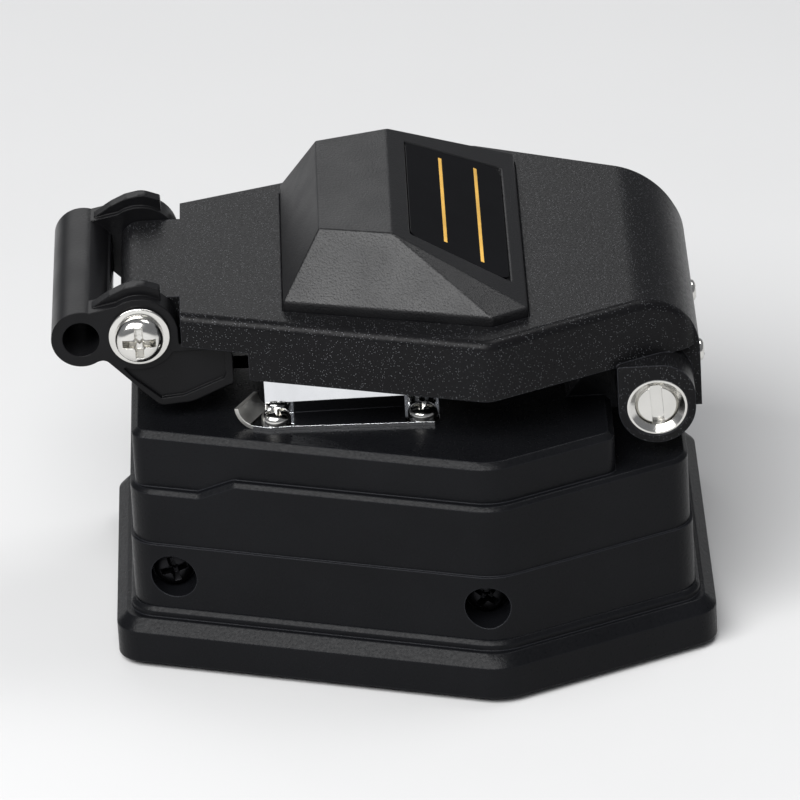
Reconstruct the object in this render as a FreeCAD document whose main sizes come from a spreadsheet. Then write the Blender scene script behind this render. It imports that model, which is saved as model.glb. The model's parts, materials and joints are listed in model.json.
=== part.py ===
"""Fibre cleaver: a hand tool that scores and breaks an optical fibre square.

The terraced base stands on a rubber mat. A lid hinged at its rear presses the fibre onto two
pads, a latch at its front holds it shut, and a blade wheel on a sliding carriage scores the fibre
from below. The origin is at the middle of the underside: +Z is up, -Y is the latch end, +Y the
hinge end, and the fibre lies along X. Sizes are in millimetres.
"""
import FreeCAD, Part
import math
import os
import re

import Sketcher
from FreeCAD import Placement, Rotation, Vector

DIMENSIONS = {
    # Heights above the table
    "mat_top": 0.8,
    "flange_top": 5.9,
    "rim_top": 7.0,
    "step_level": 15.0,
    "panel_top": 23.65,
    "deck_top": 28.6,
    "pad_line": 31.0,
    "skirt_bottom": 35.2,
    "front_skirt_bottom": 38.6,
    "lid_top": 42.5,
    "hump_band_top": 43.6,
    "hump_top": 50.8,
    # Plan outlines: every layer narrows from its widest place, the vee, to its two ends
    "vee_y": 11.8,
    "front_slope": 0.34,
    "rear_slope": 0.46,
    "flange_half": 34.0,
    "flange_front": 32.0,
    "flange_rear": 37.0,
    "rim_inset": 1.8,
    "body_inset": 2.3,
    "panel_inset": 2.6,
    "slant": 1.09,
    "deck_half": 30.0,
    "deck_front": 28.8,
    "deck_rear": 26.0,
    "vee_radius": 6.0,
    "corner_radius": 3.6,
    "flange_chamfer": 1.3,
    "rim_chamfer": 0.45,
    "deck_chamfer": 0.7,
    "mat_inset": 2.4,
    # Front part of the terrace, which lies lower behind a short ramp
    "jog_depth": 1.9,
    "jog_start": 21.6,
    "jog_end": 17.5,
    "jog_radius": 1.5,
    # Room for the carriage inside the base
    "cavity_left": 17.0,
    "cavity_right": 13.0,
    "cavity_front": 25.0,
    "cavity_rear": 24.0,
    "deck_thickness": 2.2,
    "blade_slot_width": 3.2,
    "blade_slot_length": 36.4,
    "tab_slot_length": 27.0,
    "tab_slot_height": 2.2,
    # Screw wells in the right side
    "well_z": 11.1,
    "well_radius": 2.6,
    "front_well_y": 25.0,
    "front_well_floor": 15.6,
    "vee_well_y": 10.6,
    "vee_well_floor": 26.4,
    "side_screw_gap": 0.3,
    "side_screw_height": 1.5,
    # Hinge
    "hinge_y": 31.05,
    "hinge_z": 30.3,
    "shaft_radius": 2.45,
    "shaft_half": 20.3,
    "running_clearance": 0.05,
    "bush_radius": 3.5,
    "lug_radius": 3.4,
    "lug_inner": 9.6,
    "lug_outer": 13.6,
    "knuckle_inner": 14.1,
    "knuckle_outer": 21.0,
    "knuckle_radius": 4.4,
    "knuckle_top": 35.6,
    "knuckle_corner": 4.0,
    "bush_mouth": 0.5,
    # Lid
    "lid_half": 27.2,
    "lid_vee_y": 12.0,
    "lid_rear_slope": 0.48,
    "lid_front": 22.4,
    "lid_rear": 36.4,
    "lid_wall": 1.6,
    "lid_rear_radius": 8.0,
    "lid_edge": 1.4,
    "lid_round": 1.2,
    "skirt_step_y": 14.9,
    "rear_wall_half": 15.2,
    "rear_wall_bottom": 27.5,
    "nose_half": 10.3,
    "nose_front": 29.3,
    "nose_bottom": 36.4,
    "nose_radius": 2.2,
    # Hump, a faceted cover on the lid
    "hump_seat": 0.5,
    "hump_front": 10.6,
    "hump_front_half": 15.6,
    "hump_vee_y": 12.8,
    "hump_vee_half": 22.7,
    "hump_rear": 16.95,
    "hump_rear_half": 20.55,
    "plateau_front": 6.1,
    "plateau_front_half": 11.9,
    "plateau_rear": 2.15,
    "plateau_rear_half": 14.2,
    "label_top_y": 4.2,
    "label_top_half": 12.5,
    "label_bottom_y": 15.3,
    "label_bottom_half": 15.2,
    "label_depth": 0.4,
    "label_thickness": 0.3,
    # Latch
    "pivot_y": 27.15,
    "pivot_z": 39.7,
    "tube_y": 33.8,
    "tube_z": 39.5,
    "tube_radius": 3.4,
    "tube_bore": 2.1,
    "tube_half": 14.0,
    "cheek_inner": 10.6,
    "cheek_radius": 4.4,
    "fin_radius": 5.7,
    "fin_inner": 11.2,
    "cheek_recess": 0.5,
    "cheek_rear": 16.8,
    "cheek_step_y": 22.75,
    "cheek_step_z": 38.2,
    "fin_outer": 12.8,
    "screw_shank": 1.5,
    "pan_radius": 2.75,
    "pan_height": 1.9,
    "washer_radius": 3.5,
    "washer_thickness": 0.5,
    # Catch that the latch hooks under
    "catch_y": 23.4,
    "hook_front": 3.8,
    "hook_back": 2.0,
    "hook_reach": 0.7,
    "hook_depth": 2.9,
    "hook_tip_drop": 2.08,
    "hook_root_drop": 0.19,
    "catch_z": 32.8,
    "catch_radius": 1.0,
    "catch_half": 6.0,
    "catch_ear": 1.6,
    "catch_foot": 1.2,
    "hook_half_width": 3.5,
    "member_front": 27.2,
    "member_rear": 25.4,
    "member_low": 31.4,
    "member_high": 34.6,
    # Fibre clamps
    "clamp_inner": 4.0,
    "clamp_outer": 9.5,
    "clamp_half_length": 5.0,
    "carrier_half_width": 12.0,
    "carrier_half_length": 8.0,
    "carrier_thickness": 2.0,
    "pad_inset": 0.4,
    "anvil_foot_height": 0.8,
    "anvil_foot_half": 0.6,
    "pad_thickness": 1.0,
    "pad_gap": 0.2,
    "anvil_half_width": 1.5,
    "anvil_half_length": 3.5,
    "anvil_bottom": 32.4,
    "anvil_top": 39.6,
    "guard_x": 14.2,
    "guard_front": 13.4,
    "guard_rear": 6.4,
    "guard_crease": 1.9,
    "guard_thickness": 0.5,
    "leaf_radius": 1.9,
    "leaf_length": 4.7,
    "guard_height": 5.4,
    "guard_lean": 0.18,
    "guard_screw_head": 1.7,
    "guard_screw_height": 1.3,
    "guard_screw_shank": 0.8,
    # Blade carriage
    "blade_radius": 9.5,
    "blade_half_thickness": 0.75,
    "blade_y": 9.0,
    "blade_z": 21.6,
    "blade_bore": 2.0,
    "rail_x": 7.0,
    "rail_width": 5.0,
    "rail_height": 4.0,
    "rail_length": 46.0,
    "block_half_width": 4.5,
    "block_length": 16.0,
    "block_top": 15.0,
    "block_clearance": 0.2,
    "tab_outside": 33.3,
    "tab_shift": 8.0,
    "tab_arm_width": 4.0,
    "tab_arm_thickness": 1.4,
    "thumb_depth": 2.6,
    "thumb_width": 9.0,
    "thumb_height": 4.4,
    "blade_bevel": 1.2,
    "boss_radius": 3.0,
    "axle_head_radius": 3.2,
    "axle_head_height": 1.6,
    "axle_reach": 6.0,
    "rail_screw_radius": 1.6,
    "rail_screw_height": 1.2,
    "rail_well_radius": 1.7,
    "rail_well_depth": 1.4,
    "rail_screw_inset": 3.0,
    # Fibre guide on the left of the deck
    "guide_inner": 11.5,
    "guide_outer": 20.6,
    "cover_reach": 4.2,
    "guide_half_length": 5.2,
    "guide_tail": 1.4,
    "guide_ear": 1.2,
    "groove_half": 0.4,
    "cover_hinge_y": 4.0,
    "cover_hinge_z": 32.2,
    "cover_pin_radius": 0.6,
}

DOC = FreeCAD.newDocument("FibreCleaver")
SHEET = DOC.addObject("Spreadsheet::Sheet", "Dims")
SUB_PARTS = []
TURN_TO = {
    "Z": Rotation(),
    "X": Rotation(Vector(0, 1, 0), 90),
    "Y": Rotation(Vector(1, 0, 0), -90),
}
BASE_SCREW_PLACES = [("13.5", "-27.2"), ("-13.5", "-27.2"), ("16", "29.5"), ("-16", "29.5")]
BASE_SCREW_WELL = "pan_radius + 0.4"
BASE_SCREW_DEPTH = "2.4"
REAR_SCREW_PLACES = [("-7.75", "30.8"), ("7.75", "30.8")]
REAR_SCREW_SHANK = "0.8"
SIDE_SHANK = "1"
SIDE_SHANK_LENGTH = "1.5"
SIDE_WELLS = {"front": ("front_well_floor", "-front_well_y"), "vee": ("vee_well_floor", "vee_well_y")}
GUARD_SCREW_PLACES = [("guard_x + 2.35", "-12.2"), ("guard_x + 3", "4.5")]
UPPER_PAD_TOP = "pad_line + pad_gap + pad_thickness"
GUIDE_REAR = "guide_half_length + guide_tail"
BOTH_SIDES = (-1, 1)
HEAD_SIDES = 24
SHANK_SIDES = 12


def fill_sheet():
    """Writes one named cell for each driving dimension."""
    for row, (alias, number) in enumerate(DIMENSIONS.items(), start=1):
        SHEET.set(f"A{row}", alias)
        SHEET.set(f"B{row}", str(number))
        SHEET.setAlias(f"B{row}", alias)
    DOC.recompute()


def size(alias):
    """The number in the sheet's cell of that name."""
    return float(SHEET.get(alias))


def recompute():
    """Recomputes the document and stops at the first object that failed."""
    DOC.recompute()
    for item in DOC.Objects:
        if "Invalid" in item.State or "Error" in item.State:
            raise RuntimeError(f"{item.Name} failed: {item.getStatusString()}")


def linked(text):
    """Writes the sheet's name before each of its aliases in an expression."""
    def with_sheet(word):
        return f"Dims.{word[0]}" if word[0] in DIMENSIONS else word[0]

    return re.sub(r"[a-z_]{3,}", with_sheet, str(text))


def number(text):
    """The present value of an expression."""
    return float(SHEET.evalExpression(linked(text)))


def bind(item, field, text):
    """Ties a property to the sheet."""
    item.setExpression(field, linked(text))


def finish_part(item, label):
    """Registers a finished sub-part under its node's name."""
    item.Label = label
    SUB_PARTS.append(item)
    return item


# Sketches and body features


def new_body(label):
    return DOC.addObject("PartDesign::Body", label)


def sketch_on(body, plane, name, offset="0"):
    """A sketch on one of the body's own origin planes, moved along its normal by offset."""
    sketch = body.newObject("Sketcher::SketchObject", name)
    support = next(item for item in body.Origin.OriginFeatures if item.Role == plane)
    sketch.AttachmentSupport = [(support, "")]
    sketch.MapMode = "FlatFace"
    bind(sketch, "AttachmentOffset.Base.z", offset)
    return sketch


def pin_point(sketch, edge, across, up):
    """Dimensions the start of an edge from the sketch's origin."""
    for kind, text in (("DistanceX", across), ("DistanceY", up)):
        index = sketch.addConstraint(Sketcher.Constraint(kind, -1, 1, edge, 1, number(text)))
        bind(sketch, f"Constraints[{index}]", text)


def outline(body, plane, name, points, offset="0"):
    """A closed sketch with straight sides through the points, each coordinate an expression."""
    sketch = sketch_on(body, plane, name, offset)
    places = [Vector(number(across), number(up), 0) for across, up in points]
    count = len(places)
    for step, place in enumerate(places):
        sketch.addGeometry(Part.LineSegment(place, places[(step + 1) % count]), False)
    for step in range(count):
        sketch.addConstraint(Sketcher.Constraint("Coincident", step, 2, (step + 1) % count, 1))
    for step, (across, up) in enumerate(points):
        pin_point(sketch, step, across, up)
    return sketch


def rounded_outline(body, plane, name, points, radii, offset="0"):
    """A closed sketch whose corner points are pinned, and whose corners are tangent arcs."""
    sketch = sketch_on(body, plane, name, offset)
    places = [Vector(number(across), number(up), 0) for across, up in points]
    count = len(places)
    arcs = []
    for step, place in enumerate(places):
        back = (places[step - 1] - place).normalize()
        ahead = (places[(step + 1) % count] - place).normalize()
        half = back.getAngle(ahead) / 2
        radius = number(radii[step])
        reach = radius / math.tan(half)
        centre = place + (back + ahead).normalize() * (radius / math.sin(half))
        arcs.append((place + back * reach, centre, place + ahead * reach, radius))
    for step in range(count):
        sketch.addGeometry(Part.LineSegment(arcs[step][2], arcs[(step + 1) % count][0]), False)
    for start, centre, end, radius in arcs:
        first = math.atan2(start.y - centre.y, start.x - centre.x)
        last = math.atan2(end.y - centre.y, end.x - centre.x)
        bends_left = (start - centre).cross(end - centre).z > 0
        ends = (first, last) if bends_left else (last, first)
        circle = Part.Circle(centre, Vector(0, 0, 1), radius)
        sketch.addGeometry(Part.ArcOfCircle(circle, *ends), False)
    for step, (across, up) in enumerate(points):
        start, centre, end, radius = arcs[step]
        bends_left = (start - centre).cross(end - centre).z > 0
        first, last = (1, 2) if bends_left else (2, 1)
        arc = count + step
        sketch.addConstraint(Sketcher.Constraint("Tangent", (step - 1) % count, 2, arc, first))
        sketch.addConstraint(Sketcher.Constraint("Tangent", arc, last, step, 1))
        index = sketch.addConstraint(Sketcher.Constraint("Radius", arc, radius))
        bind(sketch, f"Constraints[{index}]", radii[step])
        corner = sketch.addGeometry(Part.Point(places[step]), True)
        sketch.addConstraint(Sketcher.Constraint("PointOnObject", corner, 1, (step - 1) % count))
        sketch.addConstraint(Sketcher.Constraint("PointOnObject", corner, 1, step))
        pin_point(sketch, corner, across, up)
    return sketch


def vee_layer(body, name, points, offset, corner="corner_radius"):
    """The outline of one layer: round at its two vees and tighter at its four corners."""
    radii = [corner, "vee_radius", corner, corner, "vee_radius", corner]
    return rounded_outline(body, "XY_Plane", name, points, radii, offset)


def circles(body, plane, name, centres, radius, offset="0"):
    """A sketch of equal circles."""
    sketch = sketch_on(body, plane, name, offset)
    for edge, (across, up) in enumerate(centres):
        sketch.addGeometry(Part.Circle(Vector(edge * 10, 0, 0), Vector(0, 0, 1), 1.0), False)
        for kind, text in (("DistanceX", across), ("DistanceY", up)):
            index = sketch.addConstraint(Sketcher.Constraint(kind, -1, 1, edge, 3, number(text)))
            bind(sketch, f"Constraints[{index}]", text)
        index = sketch.addConstraint(Sketcher.Constraint("Radius", edge, 1.0))
        bind(sketch, f"Constraints[{index}]", radius)
    return sketch


def rectangle(left, right, low, high):
    return [(left, low), (right, low), (right, high), (left, high)]


def vee_points(half, front, rear, vee="vee_y", front_slope="front_slope", rear_slope="rear_slope"):
    """The six corners of a layer that is widest at its vee."""
    at_front = f"({half}) - {front_slope} * ({vee} + ({front}))"
    at_rear = f"({half}) - {rear_slope} * (({rear}) - {vee})"
    right = [(at_front, f"-({front})"), (f"({half})", vee), (at_rear, f"({rear})")]
    left = [(f"-({across})", up) for across, up in reversed(right)]
    return right + left


def inset_layer(inset):
    """The flange's outline drawn in by the same distance on every side."""
    return vee_points(f"flange_half - {inset} * slant", f"flange_front - {inset}", f"flange_rear - {inset}")


def pad(body, sketch, length, name):
    feature = body.newObject("PartDesign::Pad", name)
    feature.Profile = sketch
    bind(feature, "Length", length)
    sketch.Visibility = False
    recompute()
    return feature


def pocket(body, sketch, length, name, along_normal=False):
    """Cuts a sketch out of the body, and makes sure that it did."""
    before = body.Shape.Volume
    feature = body.newObject("PartDesign::Pocket", name)
    feature.Profile = sketch
    feature.Reversed = along_normal
    bind(feature, "Length", length)
    recompute()
    if not body.Shape.Volume < before:
        raise RuntimeError(f"{name} cuts nothing")
    return feature


def edges_where(shape, test):
    """Names of the edges whose bounding box and curve pass the test."""
    return [f"Edge{index}" for index, edge in enumerate(shape.Edges, start=1) if test(edge)]


def upright(edge):
    box = edge.BoundBox
    return box.XLength < 1e-4 and box.YLength < 1e-4


def middle(edge):
    return edge.valueAt((edge.FirstParameter + edge.LastParameter) / 2)


def dress(body, kind, size_field, names, amount, name):
    """Rounds or bevels the named edges of the body's last feature."""
    if not names:
        raise RuntimeError(f"{name} has no edges")
    base = body.Tip
    feature = body.newObject(f"PartDesign::{kind}", name)
    feature.Base = (base, names)
    bind(feature, size_field, amount)
    recompute()
    return feature


def fillet(body, names, radius, name):
    return dress(body, "Fillet", "Radius", names, radius, name)


def chamfer(body, names, amount, name):
    return dress(body, "Chamfer", "Size", names, amount, name)


def rim_edges(shape, height, reach=0.0):
    """Edges of a layer's top at that height, farther out in plan than reach."""
    def on_rim(edge):
        box = edge.BoundBox
        flat = abs(box.ZMin - height) < 0.01 and abs(box.ZMax - height) < 0.01
        return flat and max(abs(box.XMin), abs(box.XMax), abs(box.YMin), abs(box.YMax)) > reach
    return edges_where(shape, on_rim)


# Part primitives


def placed(item, x, y, z, axis="Z"):
    item.Placement = Placement(Vector(), TURN_TO[axis])
    for letter, text in zip("xyz", (x, y, z)):
        bind(item, f"Placement.Base.{letter}", text)
    return item


def cylinder(name, radius, length, x, y, z, axis="Z"):
    item = DOC.addObject("Part::Cylinder", name)
    bind(item, "Radius", radius)
    bind(item, "Height", length)
    return placed(item, x, y, z, axis)


def prism(name, sides, radius, length, x, y, z, axis="Z"):
    """A round bar with so many flats, for what is small and repeats."""
    item = DOC.addObject("Part::Prism", name)
    item.Polygon = sides
    bind(item, "Circumradius", radius)
    bind(item, "Height", length)
    return placed(item, x, y, z, axis)


def box(name, x_size, y_size, z_size, x, y, z):
    item = DOC.addObject("Part::Box", name)
    bind(item, "Length", x_size)
    bind(item, "Width", y_size)
    bind(item, "Height", z_size)
    return placed(item, x, y, z)


def fuse(name, items):
    item = DOC.addObject("Part::MultiFuse", name)
    item.Shapes = items
    return item


def cut(name, base, tool):
    item = DOC.addObject("Part::Cut", name)
    item.Base = base
    item.Tool = tool
    return item


def group(name, items):
    """Separate solids that share one node."""
    item = DOC.addObject("Part::Compound", name)
    item.Links = items
    return item


def pan_screw(name, head_radius, head_height, shank_radius, shank_length, x, y, z, axis, outward=1):
    """A pan-head screw with a cross recess; x, y, z is where the head meets the part."""
    along = {"X": (1, 0, 0), "Y": (0, 1, 0), "Z": (0, 0, 1)}[axis]

    def at(distance):
        return [f"{text} + ({outward * step}) * ({distance})" for text, step in zip((x, y, z), along)]

    base = f"-({head_height})" if outward < 0 else "0"
    head_place = along_shift(x, y, z, along, base)
    head = prism(f"{name}_head", HEAD_SIDES, head_radius, head_height, *head_place, axis)
    shank_base = "0" if outward < 0 else f"-({shank_length})"
    shank_place = along_shift(x, y, z, along, shank_base)
    shank = prism(f"{name}_shank", SHANK_SIDES, shank_radius, shank_length, *shank_place, axis)
    whole = fuse(f"{name}_blank", [head, shank])
    DOC.recompute()
    bevelled = DOC.addObject("Part::Chamfer", f"{name}_bevel")
    bevelled.Base = whole
    end = Vector(*along) * outward
    rim_at = rim_reach(outward, head)

    def outer_rim(edge):
        return all((point.Point - head.Placement.Base).dot(end) > rim_at for point in edge.Vertexes)

    bevel = head.Height.Value * 0.4
    sizes = (bevel, bevel)
    bevelled.Edges = [
        (index, *sizes) for index, edge in enumerate(whole.Shape.Edges, start=1) if outer_rim(edge)
    ]
    depth = f"({head_height}) * 0.5"
    length = f"({head_radius}) * 1.1"
    width = f"({head_radius}) * 0.26"
    far = at(head_height)
    arms = []
    spans = {
        "X": ((depth, length, width), (depth, width, length)),
        "Y": ((length, depth, width), (width, depth, length)),
        "Z": ((length, width, depth), (width, length, depth)),
    }[axis]
    for number, span in enumerate(spans):
        corner = []
        for text, step, extent in zip(far, along, span):
            shift = extent if outward > 0 else "0"
            corner.append(f"{text} - ({shift})" if step else f"{text} - ({extent}) / 2")
        arms.append(box(f"{name}_arm_{number}", *span, *corner))
    return cut(name, bevelled, fuse(f"{name}_cross", arms))


def along_shift(x, y, z, along, distance):
    return [f"{text} + {step} * ({distance})" if step else text for text, step in zip((x, y, z), along)]


def rim_reach(outward, head):
    """Distance along the screw from the head's placement past which its outer rim lies."""
    return head.Height.Value / 2 if outward > 0 else -head.Height.Value / 2


# Base


def make_base_plate():
    """The flange that the base stands on, with a rim round the casting's foot."""
    body = new_body("base_plate")
    flange = vee_layer(body, "flange_outline", inset_layer("0"), "mat_top")
    pad(body, flange, "flange_top - mat_top", "flange")
    chamfer(body, rim_edges(body.Shape, size("flange_top")), "flange_chamfer", "flange_bevel")
    rim = vee_layer(body, "rim_outline", inset_layer("rim_inset"), "flange_top")
    pad(body, rim, "rim_top - flange_top", "rim")
    chamfer(body, rim_edges(body.Shape, size("rim_top")), "rim_chamfer", "rim_bevel")
    heads = circles(body, "XY_Plane", "screw_head_wells", BASE_SCREW_PLACES, BASE_SCREW_WELL, "mat_top")
    pocket(body, heads, BASE_SCREW_DEPTH, "screw_heads", along_normal=True)
    shanks = circles(body, "XY_Plane", "screw_shank_holes", BASE_SCREW_PLACES, "screw_shank", "mat_top")
    pocket(body, shanks, "rim_top", "screw_shanks", along_normal=True)
    return finish_part(body, "base_plate")


def make_base_mat():
    """The rubber mat under the flange, with holes below its screws."""
    body = new_body("base_mat")
    pad(body, vee_layer(body, "mat_outline", inset_layer("mat_inset"), "0"), "mat_top", "mat")
    holes = circles(body, "XY_Plane", "mat_hole_circles", BASE_SCREW_PLACES, BASE_SCREW_WELL)
    pocket(body, holes, "mat_top", "mat_holes", along_normal=True)
    return finish_part(body, "base_mat")


def make_base_casting():
    """The terraced casting: two panels, the deck, the hinge lugs and the room for the carriage."""
    body = new_body("base_casting")
    lower = vee_layer(body, "lower_panel_outline", inset_layer("body_inset"), "rim_top")
    pad(body, lower, "step_level - rim_top", "lower_panel")
    upper = vee_layer(body, "upper_panel_outline", inset_layer("panel_inset"), "step_level")
    pad(body, upper, "panel_top - step_level", "upper_panel")
    jog = [
        ("-(flange_front + 2)", "panel_top - jog_depth"),
        ("-jog_start", "panel_top - jog_depth"),
        ("-jog_end", "panel_top"),
        ("-jog_end + 3", "panel_top"),
        ("-jog_end + 3", "panel_top + 1"),
        ("-(flange_front + 2)", "panel_top + 1"),
    ]
    radii = ["0.2", "jog_radius", "jog_radius", "0.2", "0.2", "0.2"]
    step = rounded_outline(body, "YZ_Plane", "jog_profile", jog, radii, "-flange_half")
    pocket(body, step, "2 * flange_half", "jog", along_normal=True)
    chamfer(body, terrace_rim(body.Shape), "rim_chamfer", "panel_bevel")
    plan = vee_points("deck_half", "deck_front", "deck_rear")
    deck = vee_layer(body, "deck_outline", plan, "step_level", corner="corner_radius / 2")
    pad(body, deck, "deck_top - step_level", "deck")
    chamfer(body, rim_edges(body.Shape, size("deck_top")), "deck_chamfer", "deck_bevel")
    add_hinge_lugs(body)
    cut_carriage_room(body)
    cut_screw_wells(body)
    return finish_part(body, "base_casting")


def terrace_rim(shape):
    """The panel's outer top edges, down the ramp and along the low front part."""
    low, high = size("panel_top") - size("jog_depth") - 0.01, size("panel_top") + 0.01
    corner = size("flange_front") - size("panel_inset") - 0.1

    def on_rim(edge):
        box = edge.BoundBox
        runs_across = box.YLength < 1e-4 and abs(box.YMin) < corner
        return box.ZMin > low and box.ZMax < high and not runs_across

    return edges_where(shape, on_rim)


def add_hinge_lugs(body):
    """Two arms that carry the hinge shaft behind the deck."""
    profile = [
        ("deck_rear - 5", "deck_top - 2"),
        ("deck_rear - 5", "deck_top"),
        ("deck_rear - 1", "hinge_z + lug_radius"),
        ("hinge_y", "hinge_z + lug_radius"),
        ("hinge_y", "hinge_z - lug_radius"),
        ("deck_rear - 1", "hinge_z - lug_radius"),
    ]
    for side, name in ((-1, "left"), (1, "right")):
        start = "lug_inner" if side > 0 else "-lug_outer"
        arm = outline(body, "YZ_Plane", f"{name}_lug_profile", profile, start)
        pad(body, arm, "lug_outer - lug_inner", f"{name}_lug")
        eye = circles(body, "YZ_Plane", f"{name}_lug_eye", [("hinge_y", "hinge_z")], "lug_radius", start)
        pad(body, eye, "lug_outer - lug_inner", f"{name}_lug_end")
    bore = circles(
        body, "YZ_Plane", "shaft_bore_circle", [("hinge_y", "hinge_z")], "shaft_radius", "-lug_outer",
    )
    pocket(body, bore, "2 * lug_outer", "shaft_bore", along_normal=True)


def cut_carriage_room(body):
    """Cuts the cavity for the carriage, the blade's slot and the slot for the push tab."""
    room = outline(
        body, "XY_Plane", "cavity_outline",
        rectangle("-cavity_left", "cavity_right", "-cavity_front", "cavity_rear"), "rim_top",
    )
    pocket(body, room, "deck_top - deck_thickness - rim_top", "cavity", along_normal=True)
    slot = outline(
        body, "XY_Plane", "blade_slot_outline",
        rectangle(
            "-blade_slot_width / 2", "blade_slot_width / 2", "-blade_slot_length / 2", "blade_slot_length / 2",
        ),
        "deck_top",
    )
    pocket(body, slot, "deck_thickness + 1", "blade_slot")
    ceiling = "deck_top - deck_thickness"
    tab_way = outline(
        body, "YZ_Plane", "tab_slot_outline",
        rectangle(
            "tab_shift - tab_slot_length / 2", "tab_shift + tab_slot_length / 2",
            f"{ceiling} - tab_slot_height", ceiling,
        ),
        "-cavity_left + 1",
    )
    pocket(body, tab_way, "flange_half", "tab_slot")


def cut_screw_wells(body):
    """Two round wells in the right side, each with a screw at its floor."""
    for name, (floor, at) in SIDE_WELLS.items():
        well = circles(body, "YZ_Plane", f"{name}_well_circle", [(at, "well_z")], "well_radius", floor)
        pocket(body, well, "flange_half", f"{name}_well", along_normal=True)
        tapped = circles(
            body, "YZ_Plane", f"{name}_well_tap", [(at, "well_z")], SIDE_SHANK, f"{floor} - {SIDE_SHANK_LENGTH}",
        )
        pocket(body, tapped, SIDE_SHANK_LENGTH, f"{name}_tapped_hole", along_normal=True)


def make_base_screws():
    screws = [
        pan_screw(
            f"base_screw_{number}", "pan_radius", "pan_height", "screw_shank", "rim_top - mat_top - 2.4",
            x, y, f"mat_top + {BASE_SCREW_DEPTH}", "Z", -1,
        )
        for number, (x, y) in enumerate(BASE_SCREW_PLACES)
    ]
    return finish_part(group("base_screws", screws), "base_screws")


def make_side_screws():
    """The screws seen at the floors of the two side wells."""
    screws = [
        pan_screw(
            f"{name}_side_screw", "well_radius - side_screw_gap", "side_screw_height",
            SIDE_SHANK, SIDE_SHANK_LENGTH, floor, y, "well_z", "X",
        )
        for name, (floor, y) in SIDE_WELLS.items()
    ]
    return finish_part(group("side_screws", screws), "side_screws")


# Hinge


def make_hinge_shaft():
    """The shaft pressed through the base's lugs, with a driver slot in each end."""
    shaft = cylinder(
        "shaft_rod", "shaft_radius", "2 * shaft_half", "-shaft_half", "hinge_y", "hinge_z", "X",
    )
    slots = [
        box(
            f"shaft_slot_{side + 1}", "1", "1.1", "2 * shaft_radius + 1",
            "shaft_half - 1 + 0.01" if side > 0 else "-shaft_half - 0.01",
            "hinge_y - 0.55", "hinge_z - shaft_radius - 0.5",
        )
        for side in BOTH_SIDES
    ]
    return finish_part(cut("hinge_shaft", shaft, fuse("shaft_slots", slots)), "hinge_shaft")


def make_hinge_bushes():
    """A bush in each of the lid's knuckles, running on the shaft."""
    bushes = []
    for side in BOTH_SIDES:
        start = "knuckle_inner" if side > 0 else "-knuckle_outer + 0.1"
        outer = cylinder(
            f"bush_outside_{side + 1}", "bush_radius", "knuckle_outer - knuckle_inner - 0.1",
            start, "hinge_y", "hinge_z", "X",
        )
        bore = cylinder(
            f"bush_bore_{side + 1}", "shaft_radius + running_clearance", "knuckle_outer",
            f"{start} - 1", "hinge_y", "hinge_z", "X",
        )
        mouth = DOC.addObject("Part::Cone", f"bush_mouth_{side + 1}")
        wide, narrow = "bush_radius - 0.15", "shaft_radius + running_clearance"
        bind(mouth, "Radius1", narrow if side > 0 else wide)
        bind(mouth, "Radius2", wide if side > 0 else narrow)
        bind(mouth, "Height", "bush_mouth")
        mouth_start = "knuckle_outer - bush_mouth" if side > 0 else "-knuckle_outer + 0.1"
        placed(mouth, mouth_start, "hinge_y", "hinge_z", "X")
        bushes.append(cut(f"bush_{side + 1}", outer, fuse(f"bush_inside_{side + 1}", [bore, mouth])))
    return finish_part(group("hinge_bushes", bushes), "hinge_bushes")


# Lid


def lid_points(inset):
    """The lid's plan outline drawn in by the same distance on every side."""
    return vee_points(
        f"lid_half - {inset} * slant", f"lid_front - {inset}", f"lid_rear - {inset}",
        vee="lid_vee_y", rear_slope="lid_rear_slope",
    )


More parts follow.
